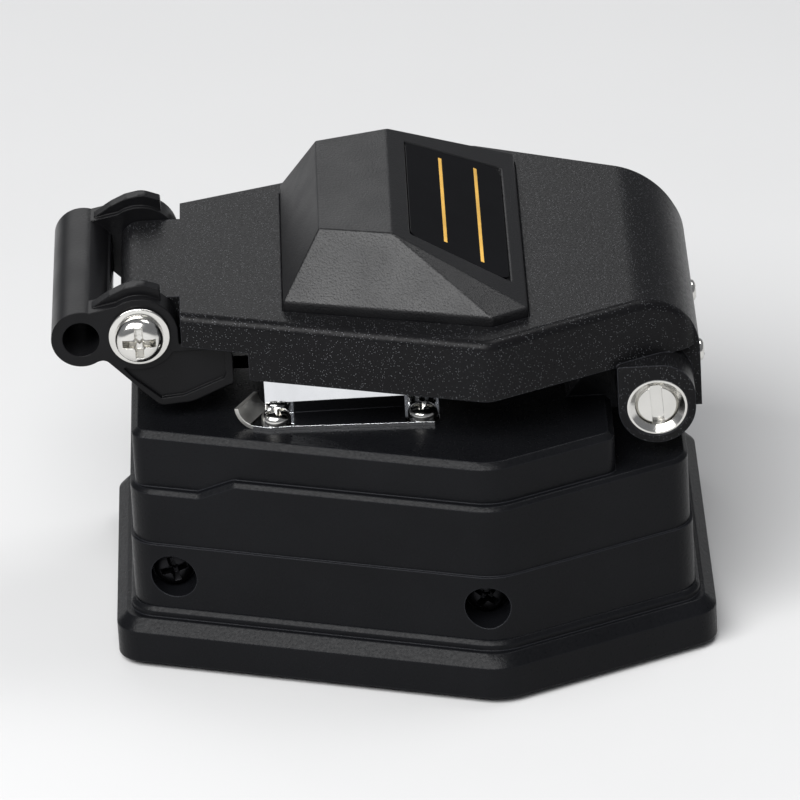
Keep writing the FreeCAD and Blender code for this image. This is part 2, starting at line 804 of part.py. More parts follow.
def make_lid_shell():
    """The cast lid: an open shell with a nose for the latch and knuckles for the hinge."""
    body = new_body("lid_shell")
    spare = "lid_front + 3"
    radii = ["lid_edge", "2 * lid_edge", "3 * lid_edge"]
    corners = vee_points("lid_half", spare, "lid_rear", vee="lid_vee_y", rear_slope="lid_rear_slope")
    plan = rounded_outline(body, "XY_Plane", "lid_outline", corners, radii + radii[::-1], "skirt_bottom")
    pad(body, plan, "lid_top - skirt_bottom", "lid_block")
    wall = outline(
        body, "XY_Plane", "rear_wall_outline",
        rectangle("-rear_wall_half", "rear_wall_half", "lid_rear - 5", "lid_rear"), "rear_wall_bottom",
    )
    pad(body, wall, "lid_top - rear_wall_bottom - 2", "rear_wall")
    past = "lid_rear_radius + 1"
    rear_curve = [
        (f"lid_rear - ({past})", "lid_top"),
        ("lid_rear", "lid_top"),
        ("lid_rear", f"lid_top - ({past})"),
        ("lid_rear + 2", f"lid_top - ({past})"),
        ("lid_rear + 2", "lid_top + 2"),
        (f"lid_rear - ({past})", "lid_top + 2"),
    ]
    radii = ["0.2", "lid_rear_radius", "0.2", "0.2", "0.2", "0.2"]
    curve = rounded_outline(body, "YZ_Plane", "lid_rear_profile", rear_curve, radii, "-lid_half")
    pocket(body, curve, "2 * lid_half", "lid_rear_curve", along_normal=True)
    fillet(body, lid_side_edges(body.Shape), "lid_round", "lid_side_round")
    trim = outline(
        body, "XY_Plane", "lid_front_trim",
        rectangle("-lid_half", "lid_half", f"-({spare}) - 1", "-lid_front"),
        "skirt_bottom",
    )
    pocket(body, trim, "lid_top - skirt_bottom", "lid_front_face", along_normal=True)
    hollow_lid(body)
    skirt = [
        ("-(lid_front + 1)", "skirt_bottom - 1"),
        ("-skirt_step_y", "skirt_bottom - 1"),
        ("-skirt_step_y", "front_skirt_bottom"),
        ("-(lid_front + 1)", "front_skirt_bottom"),
    ]
    low_front = outline(body, "YZ_Plane", "front_skirt_profile", skirt, "-lid_half")
    pocket(body, low_front, "2 * lid_half", "front_skirt", along_normal=True)
    add_nose(body)
    add_knuckles(body)
    seat = outline(body, "XY_Plane", "hump_seat_outline", hump_foot("0.15"), "lid_top")
    pocket(body, seat, "hump_seat", "hump_recess")
    holes = circles(
        body, "XZ_Plane", "rear_screw_circles", REAR_SCREW_PLACES, REAR_SCREW_SHANK, "-(lid_rear + 1)",
    )
    pocket(body, holes, "lid_wall + 2", "rear_screw_holes", along_normal=True)
    return finish_part(body, "lid_shell")


def lid_side_edges(shape):
    """The long top edges of the lid's two sides; the round then runs on down the rear curve."""
    top = size("lid_top")

    def on_side(edge):
        box = edge.BoundBox
        return abs(box.ZMin - top) < 0.01 and abs(box.ZMax - top) < 0.01 and box.YLength > 10

    return edges_where(shape, on_side)


def hollow_lid(body):
    """Hollows the lid from below, and follows its rear curve at the wall's thickness."""
    floor = "rear_wall_bottom - 1"
    ceiling = "lid_top - lid_wall"
    curve_start = "lid_rear - lid_rear_radius"
    plan = vee_points(
        "lid_half - lid_wall * slant", "lid_front - lid_wall", curve_start,
        vee="lid_vee_y", rear_slope="lid_rear_slope",
    )
    room = outline(body, "XY_Plane", "lid_room_outline", plan, floor)
    pocket(body, room, f"{ceiling} - ({floor})", "lid_room", along_normal=True)
    profile = [
        (f"{curve_start} - 0.1", floor),
        ("lid_rear - lid_wall", floor),
        ("lid_rear - lid_wall", ceiling),
        (f"{curve_start} - 0.1", ceiling),
    ]
    radii = ["0.05", "0.05", "lid_rear_radius - lid_wall", "0.05"]
    half = "knuckle_inner - 0.1"
    rear = rounded_outline(body, "YZ_Plane", "rear_room_profile", profile, radii, f"-({half})")
    pocket(body, rear, f"2 * ({half})", "rear_room", along_normal=True)


def add_nose(body):
    """The block at the lid's front that carries the latch's pivot screws."""
    plan = rounded_outline(
        body, "YZ_Plane", "nose_profile",
        [
            ("-nose_front", "nose_bottom"),
            ("-(lid_front - lid_wall)", "nose_bottom"),
            ("-(lid_front - lid_wall)", "lid_top"),
            ("-nose_front", "lid_top"),
        ],
        ["nose_radius", "0.2", "0.2", "nose_radius"], "-nose_half",
    )
    pad(body, plan, "2 * nose_half", "nose")
    holes = circles(
        body, "YZ_Plane", "pivot_hole_circle", [("-pivot_y", "pivot_z")], "screw_shank", "-nose_half",
    )
    pocket(body, holes, "2 * nose_half", "pivot_holes", along_normal=True)


def add_knuckles(body):
    """The two ears that hold the hinge bushes."""
    profile = [
        ("hinge_y - knuckle_radius", "hinge_z"),
        ("hinge_y + knuckle_radius", "hinge_z"),
        ("hinge_y + knuckle_radius", "knuckle_top"),
        ("hinge_y - knuckle_radius", "knuckle_top"),
    ]
    radii = ["0.05", "0.05", "knuckle_corner", "0.3"]
    for side, name in ((-1, "left"), (1, "right")):
        start = "knuckle_inner" if side > 0 else "-knuckle_outer"
        width = "knuckle_outer - knuckle_inner"
        face = rounded_outline(body, "YZ_Plane", f"{name}_knuckle_profile", profile, radii, start)
        pad(body, face, width, f"{name}_knuckle")
        eye = circles(
            body, "YZ_Plane", f"{name}_knuckle_eye", [("hinge_y", "hinge_z")], "knuckle_radius", start,
        )
        pad(body, eye, width, f"{name}_knuckle_end")
    bores = circles(
        body, "YZ_Plane", "bush_bore_circle", [("hinge_y", "hinge_z")], "bush_radius", "-knuckle_outer",
    )
    pocket(body, bores, "2 * knuckle_outer", "bush_bores", along_normal=True)


def hump_foot(gap):
    """Corners of the hump's foot, grown by gap."""
    right = [
        (f"hump_front_half + {gap}", f"-hump_front - {gap}"),
        (f"hump_vee_half + {gap}", "hump_vee_y"),
        (f"hump_rear_half + {gap}", f"hump_rear + {gap}"),
    ]
    return right + [(f"-({across})", up) for across, up in reversed(right)]


def make_hump_cover():
    """The faceted cover: flat on top, sloping to the rear under the label, with canted sides.

    Its skew facets have no common direction to pad along, so it is built from its faces.
    """
    foot = [
        Vector(number(across), number(up), size("lid_top") - size("hump_seat"))
        for across, up in hump_foot("0")
    ]
    lift = Vector(0, 0, size("hump_band_top") - size("lid_top") + size("hump_seat"))
    band = [place + lift for place in foot]
    front = Vector(size("plateau_front_half"), -size("plateau_front"), size("hump_top"))
    ridge = Vector(size("plateau_rear_half"), size("plateau_rear"), size("hump_top"))
    mirror = [Vector(-place.x, place.y, place.z) for place in (front, ridge)]
    loops = [
        list(reversed(foot)),
        [front, ridge, mirror[1], mirror[0]],
        [band[5], band[0], front, mirror[0]],
        [ridge, band[2], band[3], mirror[1]],
    ]
    loops += [[foot[step], foot[(step + 1) % 6], band[(step + 1) % 6], band[step]] for step in range(6)]
    flanks = ((band[0], band[1], band[2], front, ridge), (band[5], band[4], band[3], *mirror))
    for low, vee, rear, top, back in flanks:
        loops += [[low, vee, back], [low, back, top], [vee, rear, back]]
    faces = [Part.Face(Part.makePolygon(loop + loop[:1])) for loop in loops]
    solid = Part.makeSolid(Part.makeShell(faces))
    if solid.Volume < 0:
        solid.reverse()
    solid = solid.removeSplitter()
    solid = solid.cut(label_block(size("label_depth"), 1.0))
    item = DOC.addObject("Part::Feature", "hump_cover")
    item.Shape = solid
    item.Placement = Placement()
    return finish_part(item, "hump_cover")


def label_block(depth, thickness, shrink=0.0):
    """A plate-like block on the hump's rear slope, its floor at that depth below the slope."""
    run = size("hump_rear") - size("plateau_rear")
    fall = size("hump_top") - size("hump_band_top")
    normal = Vector(0, fall, run).normalize()

    def on_slope(across, along):
        height = size("hump_top") - (along - size("plateau_rear")) * fall / run
        return Vector(across, along, height) - normal * depth

    high, low = size("label_top_y") + shrink, size("label_bottom_y") - shrink
    top, bottom = size("label_top_half") - shrink, size("label_bottom_half") - shrink
    ring = [on_slope(-top, high), on_slope(-bottom, low), on_slope(bottom, low), on_slope(top, high)]
    return Part.Face(Part.makePolygon(ring + ring[:1])).extrude(normal * thickness)


def make_label_plate():
    """The thin blank plate in the recess of the hump's rear slope."""
    item = DOC.addObject("Part::Feature", "label_plate")
    item.Shape = label_block(size("label_depth"), size("label_thickness"), 0.1)
    item.Placement = Placement()
    return finish_part(item, "label_plate")


def make_rear_screws():
    screws = [
        pan_screw(
            f"rear_screw_{number}", "1.3", "0.8", REAR_SCREW_SHANK, "lid_wall", x, "lid_rear", z, "Y",
        )
        for number, (x, z) in enumerate(REAR_SCREW_PLACES)
    ]
    return finish_part(group("rear_screws", screws), "rear_screws")


def make_clamp_carrier():
    """The plate under the lid's ceiling, with the two legs that press the upper pads down."""
    body = new_body("clamp_carrier")
    ceiling = "lid_top - lid_wall"
    gap = "running_clearance * 4"
    across, along = f"anvil_half_width + {gap}", f"anvil_half_length + {gap}"
    plan = rectangle(
        "-carrier_half_width", "carrier_half_width", "-carrier_half_length", "carrier_half_length",
    )
    plate = outline(body, "XY_Plane", "carrier_outline", plan, f"{ceiling} - carrier_thickness")
    pad(body, plate, "carrier_thickness", "carrier_plate")
    for side, name in ((-1, "left"), (1, "right")):
        left, right = ("clamp_inner", "clamp_outer") if side > 0 else ("-clamp_outer", "-clamp_inner")
        leg = outline(
            body, "XY_Plane", f"{name}_leg_outline",
            rectangle(left, right, "-clamp_half_length", "clamp_half_length"), UPPER_PAD_TOP,
        )
        pad(body, leg, f"{ceiling} - 1 - ({UPPER_PAD_TOP})", f"{name}_leg")
    shaft = outline(
        body, "XY_Plane", "anvil_hole_outline",
        rectangle(f"-({across})", across, f"-({along})", along), ceiling,
    )
    pocket(body, shaft, "carrier_thickness", "anvil_hole")
    return finish_part(body, "clamp_carrier")


def clamp_pair(name, low, height, inset):
    """Two equal blocks, one each side of the blade's path."""
    blocks = [
        box(
            f"{name}_{side + 1}", "clamp_outer - clamp_inner", f"2 * (clamp_half_length - {inset})", height,
            "clamp_inner" if side > 0 else "-clamp_outer", f"-clamp_half_length + {inset}", low,
        )
        for side in BOTH_SIDES
    ]
    return finish_part(group(name, blocks), name)


def make_clamps():
    clamp_pair("lower_clamp_blocks", "deck_top", "pad_line - pad_thickness - deck_top", "0")
    clamp_pair("lower_pads", "pad_line - pad_thickness", "pad_thickness", "pad_inset")
    clamp_pair("upper_pads", "pad_line + pad_gap", "pad_thickness", "pad_inset")


def make_anvil():
    """The sprung anvil that presses down on the scored fibre, with its head in the carrier."""
    bar = box(
        "anvil_bar", "2 * anvil_half_width", "2 * anvil_half_length", "anvil_top - anvil_bottom",
        "-anvil_half_width", "-anvil_half_length", "anvil_bottom",
    )
    foot = box(
        "anvil_foot", "2 * anvil_half_width", "2 * anvil_foot_half", "anvil_foot_height",
        "-anvil_half_width", "-anvil_foot_half", "anvil_bottom - anvil_foot_height",
    )
    return finish_part(fuse("anvil", [bar, foot]), "anvil")


# Latch


def make_latch_frame():
    """The moulded latch: a finger tube between two cheeks that pivot on the lid's nose."""
    body = new_body("latch_frame")
    tube = circles(body, "YZ_Plane", "tube_circle", [("-tube_y", "tube_z")], "tube_radius", "-tube_half")
    pad(body, tube, "2 * tube_half", "tube")
    cheek = [
        ("-tube_y", "tube_z + tube_radius - 0.4"),
        ("-tube_y + 0.6", "tube_z - tube_radius + 0.2"),
        ("-tube_y + 2.6", "pivot_z - 2.9"),
        ("-25.3", "30.6"),
        ("-21.6", "30.9"),
        ("-cheek_rear", "33"),
        ("-cheek_rear", "cheek_step_z"),
        ("-cheek_step_y", "cheek_step_z"),
        ("-cheek_step_y", "pivot_z + 1"),
        ("-pivot_y", "pivot_z + cheek_radius - 0.2"),
    ]
    radii = ["0.3", "0.3", "1", "1.3", "3", "0.6", "0.3", "0.2", "1", "2"]
    fin = [
        ("-pivot_y - 5.2", "pivot_z + 2.6"),
        ("-pivot_y - 2", "pivot_z + 2"),
        ("-pivot_y + 2.6", "pivot_z + 2"),
        ("-pivot_y + 2.6", "pivot_z + fin_radius - 0.8"),
        ("-pivot_y + 0.5", "pivot_z + fin_radius"),
        ("-pivot_y - 1.5", "pivot_z + fin_radius - 0.4"),
        ("-pivot_y - 3.2", "pivot_z + fin_radius - 1.2"),
        ("-pivot_y - 5.2", "pivot_z + fin_radius - 2.5"),
    ]
    fin_radii = ["0.2", "0.3", "0.2", "0.3", "2.5", "2.5", "2.5", "0.2"]
    recess = [
        ("-29.2", "35.5"),
        ("-28.1", "34.2"),
        ("-25.1", "31.5"),
        ("-22.6", "31.7"),
        ("-cheek_rear - 1.1", "33.6"),
        ("-cheek_rear - 0.8", "34.2"),
        ("-cheek_rear - 0.8", "cheek_step_z - 0.9"),
        ("-23.4", "cheek_step_z - 0.9"),
        ("-pivot_y", "pivot_z - 3"),
    ]
    for side, name in ((-1, "left"), (1, "right")):
        start = "cheek_inner" if side > 0 else "-tube_half"
        width = "tube_half - cheek_inner"
        flank = rounded_outline(body, "YZ_Plane", f"{name}_cheek_profile", cheek, radii, start)
        pad(body, flank, width, f"{name}_cheek")
        floor = "tube_half - cheek_recess" if side > 0 else "-tube_half"
        hollow = outline(body, "YZ_Plane", f"{name}_recess_profile", recess, floor)
        pocket(body, hollow, "cheek_recess", f"{name}_cheek_recess", along_normal=True)
        eye = circles(
            body, "YZ_Plane", f"{name}_cheek_eye", [("-pivot_y", "pivot_z")], "cheek_radius", start,
        )
        pad(body, eye, width, f"{name}_cheek_disc")
        rise = rounded_outline(
            body, "YZ_Plane", f"{name}_fin_profile", fin, fin_radii,
            "fin_inner" if side > 0 else "-fin_outer",
        )
        pad(body, rise, "fin_outer - fin_inner", f"{name}_fin")
    rib = [
        ("-tube_y + 1.5", "37"),
        ("-tube_y + 3.3", "36.2"),
        ("-tube_y + 3.3", "41"),
        ("-tube_y + 1.5", "41.6"),
    ]
    web = outline(body, "YZ_Plane", "web_profile", rib, "-cheek_inner - 0.5")
    pad(body, web, "2 * cheek_inner + 1", "web")
    add_hook(body)
    bore = circles(body, "YZ_Plane", "tube_bore_circle", [("-tube_y", "tube_z")], "tube_bore", "-tube_half")
    pocket(body, bore, "2 * tube_half", "tube_bore", along_normal=True)
    pivots = circles(
        body, "YZ_Plane", "latch_pivot_circle", [("-pivot_y", "pivot_z")],
        "screw_shank + running_clearance", "-tube_half",
    )
    pocket(body, pivots, "2 * tube_half", "latch_pivots", along_normal=True)
    return finish_part(body, "latch_frame")


def add_hook(body):
    """The cross member between the cheeks, and the hook that reaches under the catch pin."""
    member = outline(
        body, "YZ_Plane", "member_profile", 
        rectangle("-member_front", "-member_rear", "member_low", "member_high"), "-cheek_inner - 0.5",
    )
    pad(body, member, "2 * cheek_inner + 1", "cross_member")
    hook = [
        ("-catch_y - hook_front", "catch_z - hook_depth"),
        ("-catch_y + hook_reach", "catch_z - hook_depth"),
        ("-catch_y + hook_reach", "catch_z - hook_tip_drop"),
        ("-catch_y - hook_back", "catch_z - hook_root_drop"),
        ("-catch_y - hook_back", "catch_z + 1"),
        ("-catch_y - hook_front", "catch_z + 1"),
    ]
    side = outline(body, "YZ_Plane", "hook_profile", hook, "-hook_half_width")
    pad(body, side, "2 * hook_half_width", "hook")


def make_latch_screws():
    """The two pivot screws in the lid's nose, each with a washer outside the cheek."""
    seat = "tube_half + running_clearance"
    screws = [
        pan_screw(
            f"latch_screw_{side + 1}", "pan_radius", "pan_height", "screw_shank",
            "tube_half + washer_thickness - nose_half + 4",
            f"{side} * ({seat} + washer_thickness)", "-pivot_y", "pivot_z", "X", side,
        )
        for side in BOTH_SIDES
    ]
    finish_part(group("latch_screws", screws), "latch_screws")
    washers = []
    for side in BOTH_SIDES:
        start = seat if side > 0 else f"-({seat}) - washer_thickness"
        disc = cylinder(
            f"washer_disc_{side + 1}", "washer_radius", "washer_thickness",
            start, "-pivot_y", "pivot_z", "X",
        )
        hole = cylinder(
            f"washer_hole_{side + 1}", "screw_shank", "3", f"{start} - 1", "-pivot_y", "pivot_z", "X",
        )
        washers.append(cut(f"washer_{side + 1}", disc, hole))
    return finish_part(group("latch_washers", washers), "latch_washers")


def make_catch():
    """The bracket on the deck's front that holds the pin the latch hooks under."""
    body = new_body("catch_bracket")
    ear = [
        ("-catch_y - 1.4", "deck_top"),
        ("-catch_y + 3.4", "deck_top"),
        ("-catch_y + 1.6", "catch_z + 1.6"),
        ("-catch_y - 1.6", "catch_z + 1.6"),
    ]
    for side, name in ((-1, "left"), (1, "right")):
        start = "catch_half - catch_ear" if side > 0 else "-catch_half"
        pad(body, outline(body, "YZ_Plane", f"{name}_ear_profile", ear, start), "catch_ear", f"{name}_ear")
    foot = outline(
        body, "XY_Plane", "catch_foot_outline",
        rectangle("-catch_half", "catch_half", "-catch_y + 1.4", "-catch_y + 3.4"), "deck_top",
    )
    pad(body, foot, "catch_foot", "catch_foot")
    hole = circles(
        body, "YZ_Plane", "catch_hole_circle", [("-catch_y", "catch_z")], "catch_radius", "-catch_half",
    )
    pocket(body, hole, "2 * catch_half", "catch_hole", along_normal=True)
    finish_part(body, "catch_bracket")
    pin = cylinder("catch_pin", "catch_radius", "2 * catch_half", "-catch_half", "-catch_y", "catch_z", "X")
    return finish_part(pin, "catch_pin")


# Blade carriage


def make_rail():
    """The rail on the base plate that the carriage slides along."""
    body = new_body("slide_rail")
    left, right = "-rail_x - rail_width / 2", "-rail_x + rail_width / 2"
    bar = outline(
        body, "XY_Plane", "rail_outline",
        rectangle(left, right, "-rail_length / 2", "rail_length / 2"), "rim_top",
    )
    pad(body, bar, "rail_height", "rail")
    reach = "(rail_length / 2 - rail_screw_inset)"
    places = [("-rail_x", f"-{reach}"), ("-rail_x", reach)]
    top = "rim_top + rail_height"
    wells = circles(body, "XY_Plane", "rail_well_circles", places, "rail_well_radius", top)
    pocket(body, wells, "rail_well_depth", "rail_wells")
    finish_part(body, "slide_rail")
    screws = [
        cylinder(
            f"rail_screw_{number}", "rail_screw_radius", "rail_screw_height",
            x, y, "rim_top + rail_height - rail_well_depth",
        )
        for number, (x, y) in enumerate(places)
    ]
    return finish_part(group("rail_screws", screws), "rail_screws")


def make_carriage():
    """The block on the rail, the bracket that holds the blade, and the push tab outside the base."""
    block = new_body("slide_block")
    low = "rim_top + 1"
    plan = outline(
        block, "XY_Plane", "block_outline",
        rectangle("-rail_x - block_half_width", "-rail_x + block_half_width",
                  "-blade_y - block_length / 2", "-blade_y + block_length / 2"),
        low,
    )
    pad(block, plan, f"block_top - ({low})", "block")
    groove = [
        ("-rail_x - rail_width / 2 - running_clearance", low),
        ("-rail_x + rail_width / 2 + running_clearance", low),
        ("-rail_x + rail_width / 2 + running_clearance", "rim_top + rail_height + block_clearance"),
        ("-rail_x - rail_width / 2 - running_clearance", "rim_top + rail_height + block_clearance"),
    ]
    way = outline(block, "XZ_Plane", "rail_way_profile", groove, "-block_length")
    pocket(block, way, "3 * block_length", "rail_way", along_normal=True)
    finish_part(block, "slide_block")

    bracket = new_body("blade_bracket")
    side = [
        ("-blade_y - 6", "block_top"),
        ("-blade_y + 6", "block_top"),
        ("-blade_y + 4.5", "deck_top - deck_thickness - 0.6"),
        ("-blade_y - 4.5", "deck_top - deck_thickness - 0.6"),
    ]
    start = "-rail_x - block_half_width"
    wall = outline(bracket, "YZ_Plane", "bracket_profile", side, start)
    pad(bracket, wall, "rail_x + block_half_width - blade_half_thickness - 0.6", "bracket_block")
    boss = circles(bracket, "YZ_Plane", "boss_circle", [("-blade_y", "blade_z")], "boss_radius", start)
    pad(bracket, boss, "rail_x + block_half_width - blade_half_thickness - 0.1", "boss")
    hole = circles(
        bracket, "YZ_Plane", "axle_hole_circle", [("-blade_y", "blade_z")],
        "blade_bore - running_clearance", "0",
    )
    pocket(bracket, hole, "axle_reach", "axle_hole")
    finish_part(bracket, "blade_bracket")

    arm_top = "deck_top - deck_thickness - 0.4"
    arm = box(
        "tab_arm", "tab_outside - rail_x - block_half_width", "tab_arm_width", "tab_arm_thickness",
        "-tab_outside", "tab_shift - blade_y - tab_arm_width / 2", f"{arm_top} - tab_arm_thickness",
    )
    thumb = box(
        "tab_thumb", "thumb_depth", "thumb_width", "thumb_height",
        "-tab_outside", "tab_shift - blade_y - thumb_width / 2", f"{arm_top} - 2.6",
    )
    return finish_part(fuse("push_tab", [arm, thumb]), "push_tab")


def make_blade():
    """The round carbide blade, bevelled to its edge, on its shouldered axle screw."""
    body = new_body("blade_wheel")
    profile = [
        ("-blade_half_thickness", "blade_bore"),
        ("blade_half_thickness", "blade_bore"),
        ("blade_half_thickness", "blade_radius - blade_bevel"),
        ("0", "blade_radius"),
        ("-blade_half_thickness", "blade_radius - blade_bevel"),
    ]
    sketch = outline(body, "XZ_Plane", "blade_profile", profile)
    turned = body.newObject("PartDesign::Revolution", "blade_disc")
    turned.Profile = sketch
    turned.ReferenceAxis = (sketch, ["H_Axis"])
    turned.Angle = 360
    recompute()
    body.Placement = Placement(Vector(), Rotation())
    bind(body, "Placement.Base.y", "-blade_y")
    bind(body, "Placement.Base.z", "blade_z")
    finish_part(body, "blade_wheel")
    shank = cylinder(
        "axle_shank", "blade_bore - running_clearance", "blade_half_thickness + axle_reach",
        "-axle_reach", "-blade_y", "blade_z", "X",
    )
    head = cylinder(
        "axle_head", "axle_head_radius", "axle_head_height",
        "blade_half_thickness + 0.1", "-blade_y", "blade_z", "X",
    )
    neck = cylinder(
        "axle_neck", "blade_bore - running_clearance", "0.5",
        "blade_half_thickness - 0.1", "-blade_y", "blade_z", "X",
    )
    slot = box(
        "axle_slot", "0.8", "7", "1", "blade_half_thickness + 1.2", "-blade_y - 3.5", "blade_z - 0.5",
    )
    return finish_part(cut("blade_axle", fuse("axle_blank", [shank, neck, head]), slot), "blade_axle")


# Fibre guide and guard


def make_fibre_guide():
    """The grooved block that lines the fibre up, with its hinged cover."""
    body = new_body("fibre_guide")
    plan = outline(
        body, "XY_Plane", "guide_outline",
        
        rectangle("-guide_outer", "-guide_inner", "-guide_half_length", GUIDE_REAR), "deck_top",
    )
    pad(body, plan, "pad_line - deck_top", "guide_block")
    ears = [
        ("cover_hinge_y - 0.9", "deck_top + 1"),
        (GUIDE_REAR, "deck_top + 1"),
        (GUIDE_REAR, "cover_hinge_z + 0.6"),
        ("cover_hinge_y + 1.2", "cover_hinge_z + 1.2"),
        ("cover_hinge_y - 0.9", "cover_hinge_z + 1.2"),
    ]
    for start, name in (("-guide_outer", "left"), ("-guide_inner - guide_ear", "right")):
        ear = outline(body, "YZ_Plane", f"{name}_guide_ear", ears, start)
        pad(body, ear, "guide_ear", f"{name}_guide_ear_pad")
    vee = [
        ("-groove_half", "pad_line + 0.01"),
        ("0", "pad_line - groove_half"),
        ("groove_half", "pad_line + 0.01"),
    ]
    groove = outline(body, "YZ_Plane", "fibre_groove_profile", vee, "-guide_outer - 1")
    pocket(body, groove, "guide_outer", "fibre_groove", along_normal=True)
    hole = circles(
        body, "YZ_Plane", "guide_pin_circle", [("cover_hinge_y", "cover_hinge_z")],
        "cover_pin_radius", "-guide_outer",
    )
    pocket(body, hole, "guide_outer", "guide_pin_hole", along_normal=True)
    finish_part(body, "fibre_guide")
    pin = cylinder(
        "cover_pin", "cover_pin_radius", "guide_outer - guide_inner",
        "-guide_outer", "cover_hinge_y", "cover_hinge_z", "X",
    )
    finish_part(pin, "cover_pin")

    cover = new_body("guide_cover")
    side = [
        ("-cover_reach", "pad_line + 0.15"),
        ("cover_hinge_y - 1.6", "pad_line + 0.15"),
        ("cover_hinge_y - 1.6", "cover_hinge_z - 0.9"),
        ("cover_hinge_y", "cover_hinge_z - 0.9"),
        ("cover_hinge_y", "cover_hinge_z + 0.9"),
        ("-cover_reach", "cover_hinge_z + 0.9"),
    ]
    start = "-guide_outer + 1.4"
    width = "guide_outer - guide_inner - 2.8"
    pad(cover, outline(cover, "YZ_Plane", "cover_profile", side, start), width, "cover_plate")
    eye = circles(cover, "YZ_Plane", "cover_eye", [("cover_hinge_y", "cover_hinge_z")], "0.95", start)
    pad(cover, eye, width, "cover_knuckle")
    bore = circles(
        cover, "YZ_Plane", "cover_bore", [("cover_hinge_y", "cover_hinge_z")],
        "cover_pin_radius + running_clearance", start,
    )
    pocket(cover, bore, width, "cover_hole", along_normal=True)
    return finish_part(cover, "guide_cover")


def make_guard():
    """The bright bent sheet beside the right clamp, with its curled front end and two screws."""
    body = new_body("guard_sheet")
    flange = [
        ("guard_x", "-guard_front + 0.4"),
        ("guard_x + 3.3", "-guard_front - 1.5"),
        ("guard_x + 4", "-guard_front + 0.4"),
        ("guard_x + 3.9", "-10.7"),
        ("guard_x + 4.6", "3"),
        ("guard_x + 4.8", "guard_rear - 0.6"),
        ("guard_x + 4.2", "guard_rear"),
        ("guard_x", "guard_rear"),
    ]
    plan = outline(body, "XY_Plane", "flange_plan", flange, "deck_top")
    pad(body, plan, "guard_thickness", "guard_flange")
    lean = "(guard_height - guard_crease) * guard_lean"
    wall = [
        ("guard_x", "deck_top"),
        ("guard_x + guard_thickness", "deck_top"),
        ("guard_x + guard_thickness", "deck_top + guard_crease"),
        (f"guard_x + guard_thickness - {lean}", "deck_top + guard_height"),
        (f"guard_x - {lean}", "deck_top + guard_height"),
        ("guard_x", "deck_top + guard_crease"),
    ]
    upright_sheet = outline(body, "XZ_Plane", "guard_wall_profile", wall, "-guard_rear")
    pad(body, upright_sheet, "guard_rear + guard_front", "guard_wall")
    holes = circles(
        body, "XY_Plane", "guard_hole_circles", GUARD_SCREW_PLACES, "guard_screw_shank", "deck_top",
    )
    pocket(body, holes, "guard_thickness", "guard_holes", along_normal=True)
    finish_part(fuse("guard_plate", [body, make_leaf()]), "guard_plate")
    screws = [
        pan_screw(
            f"guard_screw_{number}", "guard_screw_head", "guard_screw_height",
            "guard_screw_shank", "guard_thickness", x, y, "deck_top + guard_thickness", "Z",
        )
        for number, (x, y) in enumerate(GUARD_SCREW_PLACES)
    ]
    return finish_part(group("guard_screws", screws), "guard_screws")


def make_leaf():
    """The quarter curl at the guard's front, bent up about a slanting line."""
    across = Vector(-0.877, 0.480, 0).normalize()
    down = Vector(0, 0, -1)
    outward = across.cross(down)
    turn = Rotation(down, outward, across, "XYZ")
    curls = []
    for name, radius in (("leaf_outside", "leaf_radius + guard_thickness"), ("leaf_inside", "leaf_radius")):
        curl = cylinder(
            name, radius, "leaf_length",
            "guard_x + 3.25", "-guard_front - 1.4", "deck_top + guard_thickness + leaf_radius",
        )
        curl.Placement.Rotation = turn
        curl.Angle = 85
        curls.append(curl)
    return cut("leaf", *curls)


def main():
    fill_sheet()
    make_base_plate()
    make_base_mat()
    make_base_casting()
    make_base_screws()
    make_side_screws()
    make_hinge_shaft()
    make_hinge_bushes()
    make_lid_shell()
    make_hump_cover()
    make_label_plate()
    make_rear_screws()
    make_clamp_carrier()
    make_clamps()
    make_anvil()
    make_latch_frame()
    make_latch_screws()
    make_catch()
    make_rail()
    make_carriage()
    make_blade()
    make_fibre_guide()
    make_guard()
    write_parts()


def write_parts():
    """Recomputes the document, makes sure that nothing failed, and writes one file a sub-part."""
    recompute()
    os.makedirs("parts", exist_ok=True)
    for item in SUB_PARTS:
        if item.Shape.isNull() or not item.Shape.isValid():
            raise RuntimeError(f"{item.Label} has no valid shape")
        item.Shape.exportStep(f"parts/{item.Label}.step")
        box = item.Shape.BoundBox
        print(
            f"{item.Label}: {len(item.Shape.Solids)} solid(s), x {box.XMin:.2f}..{box.XMax:.2f},"
            f" y {box.YMin:.2f}..{box.YMax:.2f}, z {box.ZMin:.2f}..{box.ZMax:.2f}"
        )


if __name__ == "__main__":
    main()
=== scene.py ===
"""A bench cleaver for optical fibre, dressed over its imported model."""

import json
import math

import bmesh
import bpy
from bpy.props import FloatProperty, FloatVectorProperty, PointerProperty
from bpy.types import Operator, Panel, PropertyGroup
from mathutils import Matrix, Vector


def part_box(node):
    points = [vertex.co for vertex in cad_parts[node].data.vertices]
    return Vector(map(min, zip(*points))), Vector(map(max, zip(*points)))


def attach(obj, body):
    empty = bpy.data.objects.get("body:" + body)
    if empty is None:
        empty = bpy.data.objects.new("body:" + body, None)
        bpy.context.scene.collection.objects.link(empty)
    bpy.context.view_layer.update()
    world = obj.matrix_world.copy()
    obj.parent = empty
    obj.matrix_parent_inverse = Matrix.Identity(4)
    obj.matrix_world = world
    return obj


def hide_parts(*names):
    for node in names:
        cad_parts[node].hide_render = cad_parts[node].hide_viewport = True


bl_info = {
    "name": "Fibre cleaver",
    "version": (1, 0, 0),
    "blender": (4, 5, 0),
    "location": "3D View > Sidebar > Cleaver",
    "description": "Builds the visible pieces and finishes of a fibre cleaver",
    "category": "Object",
}

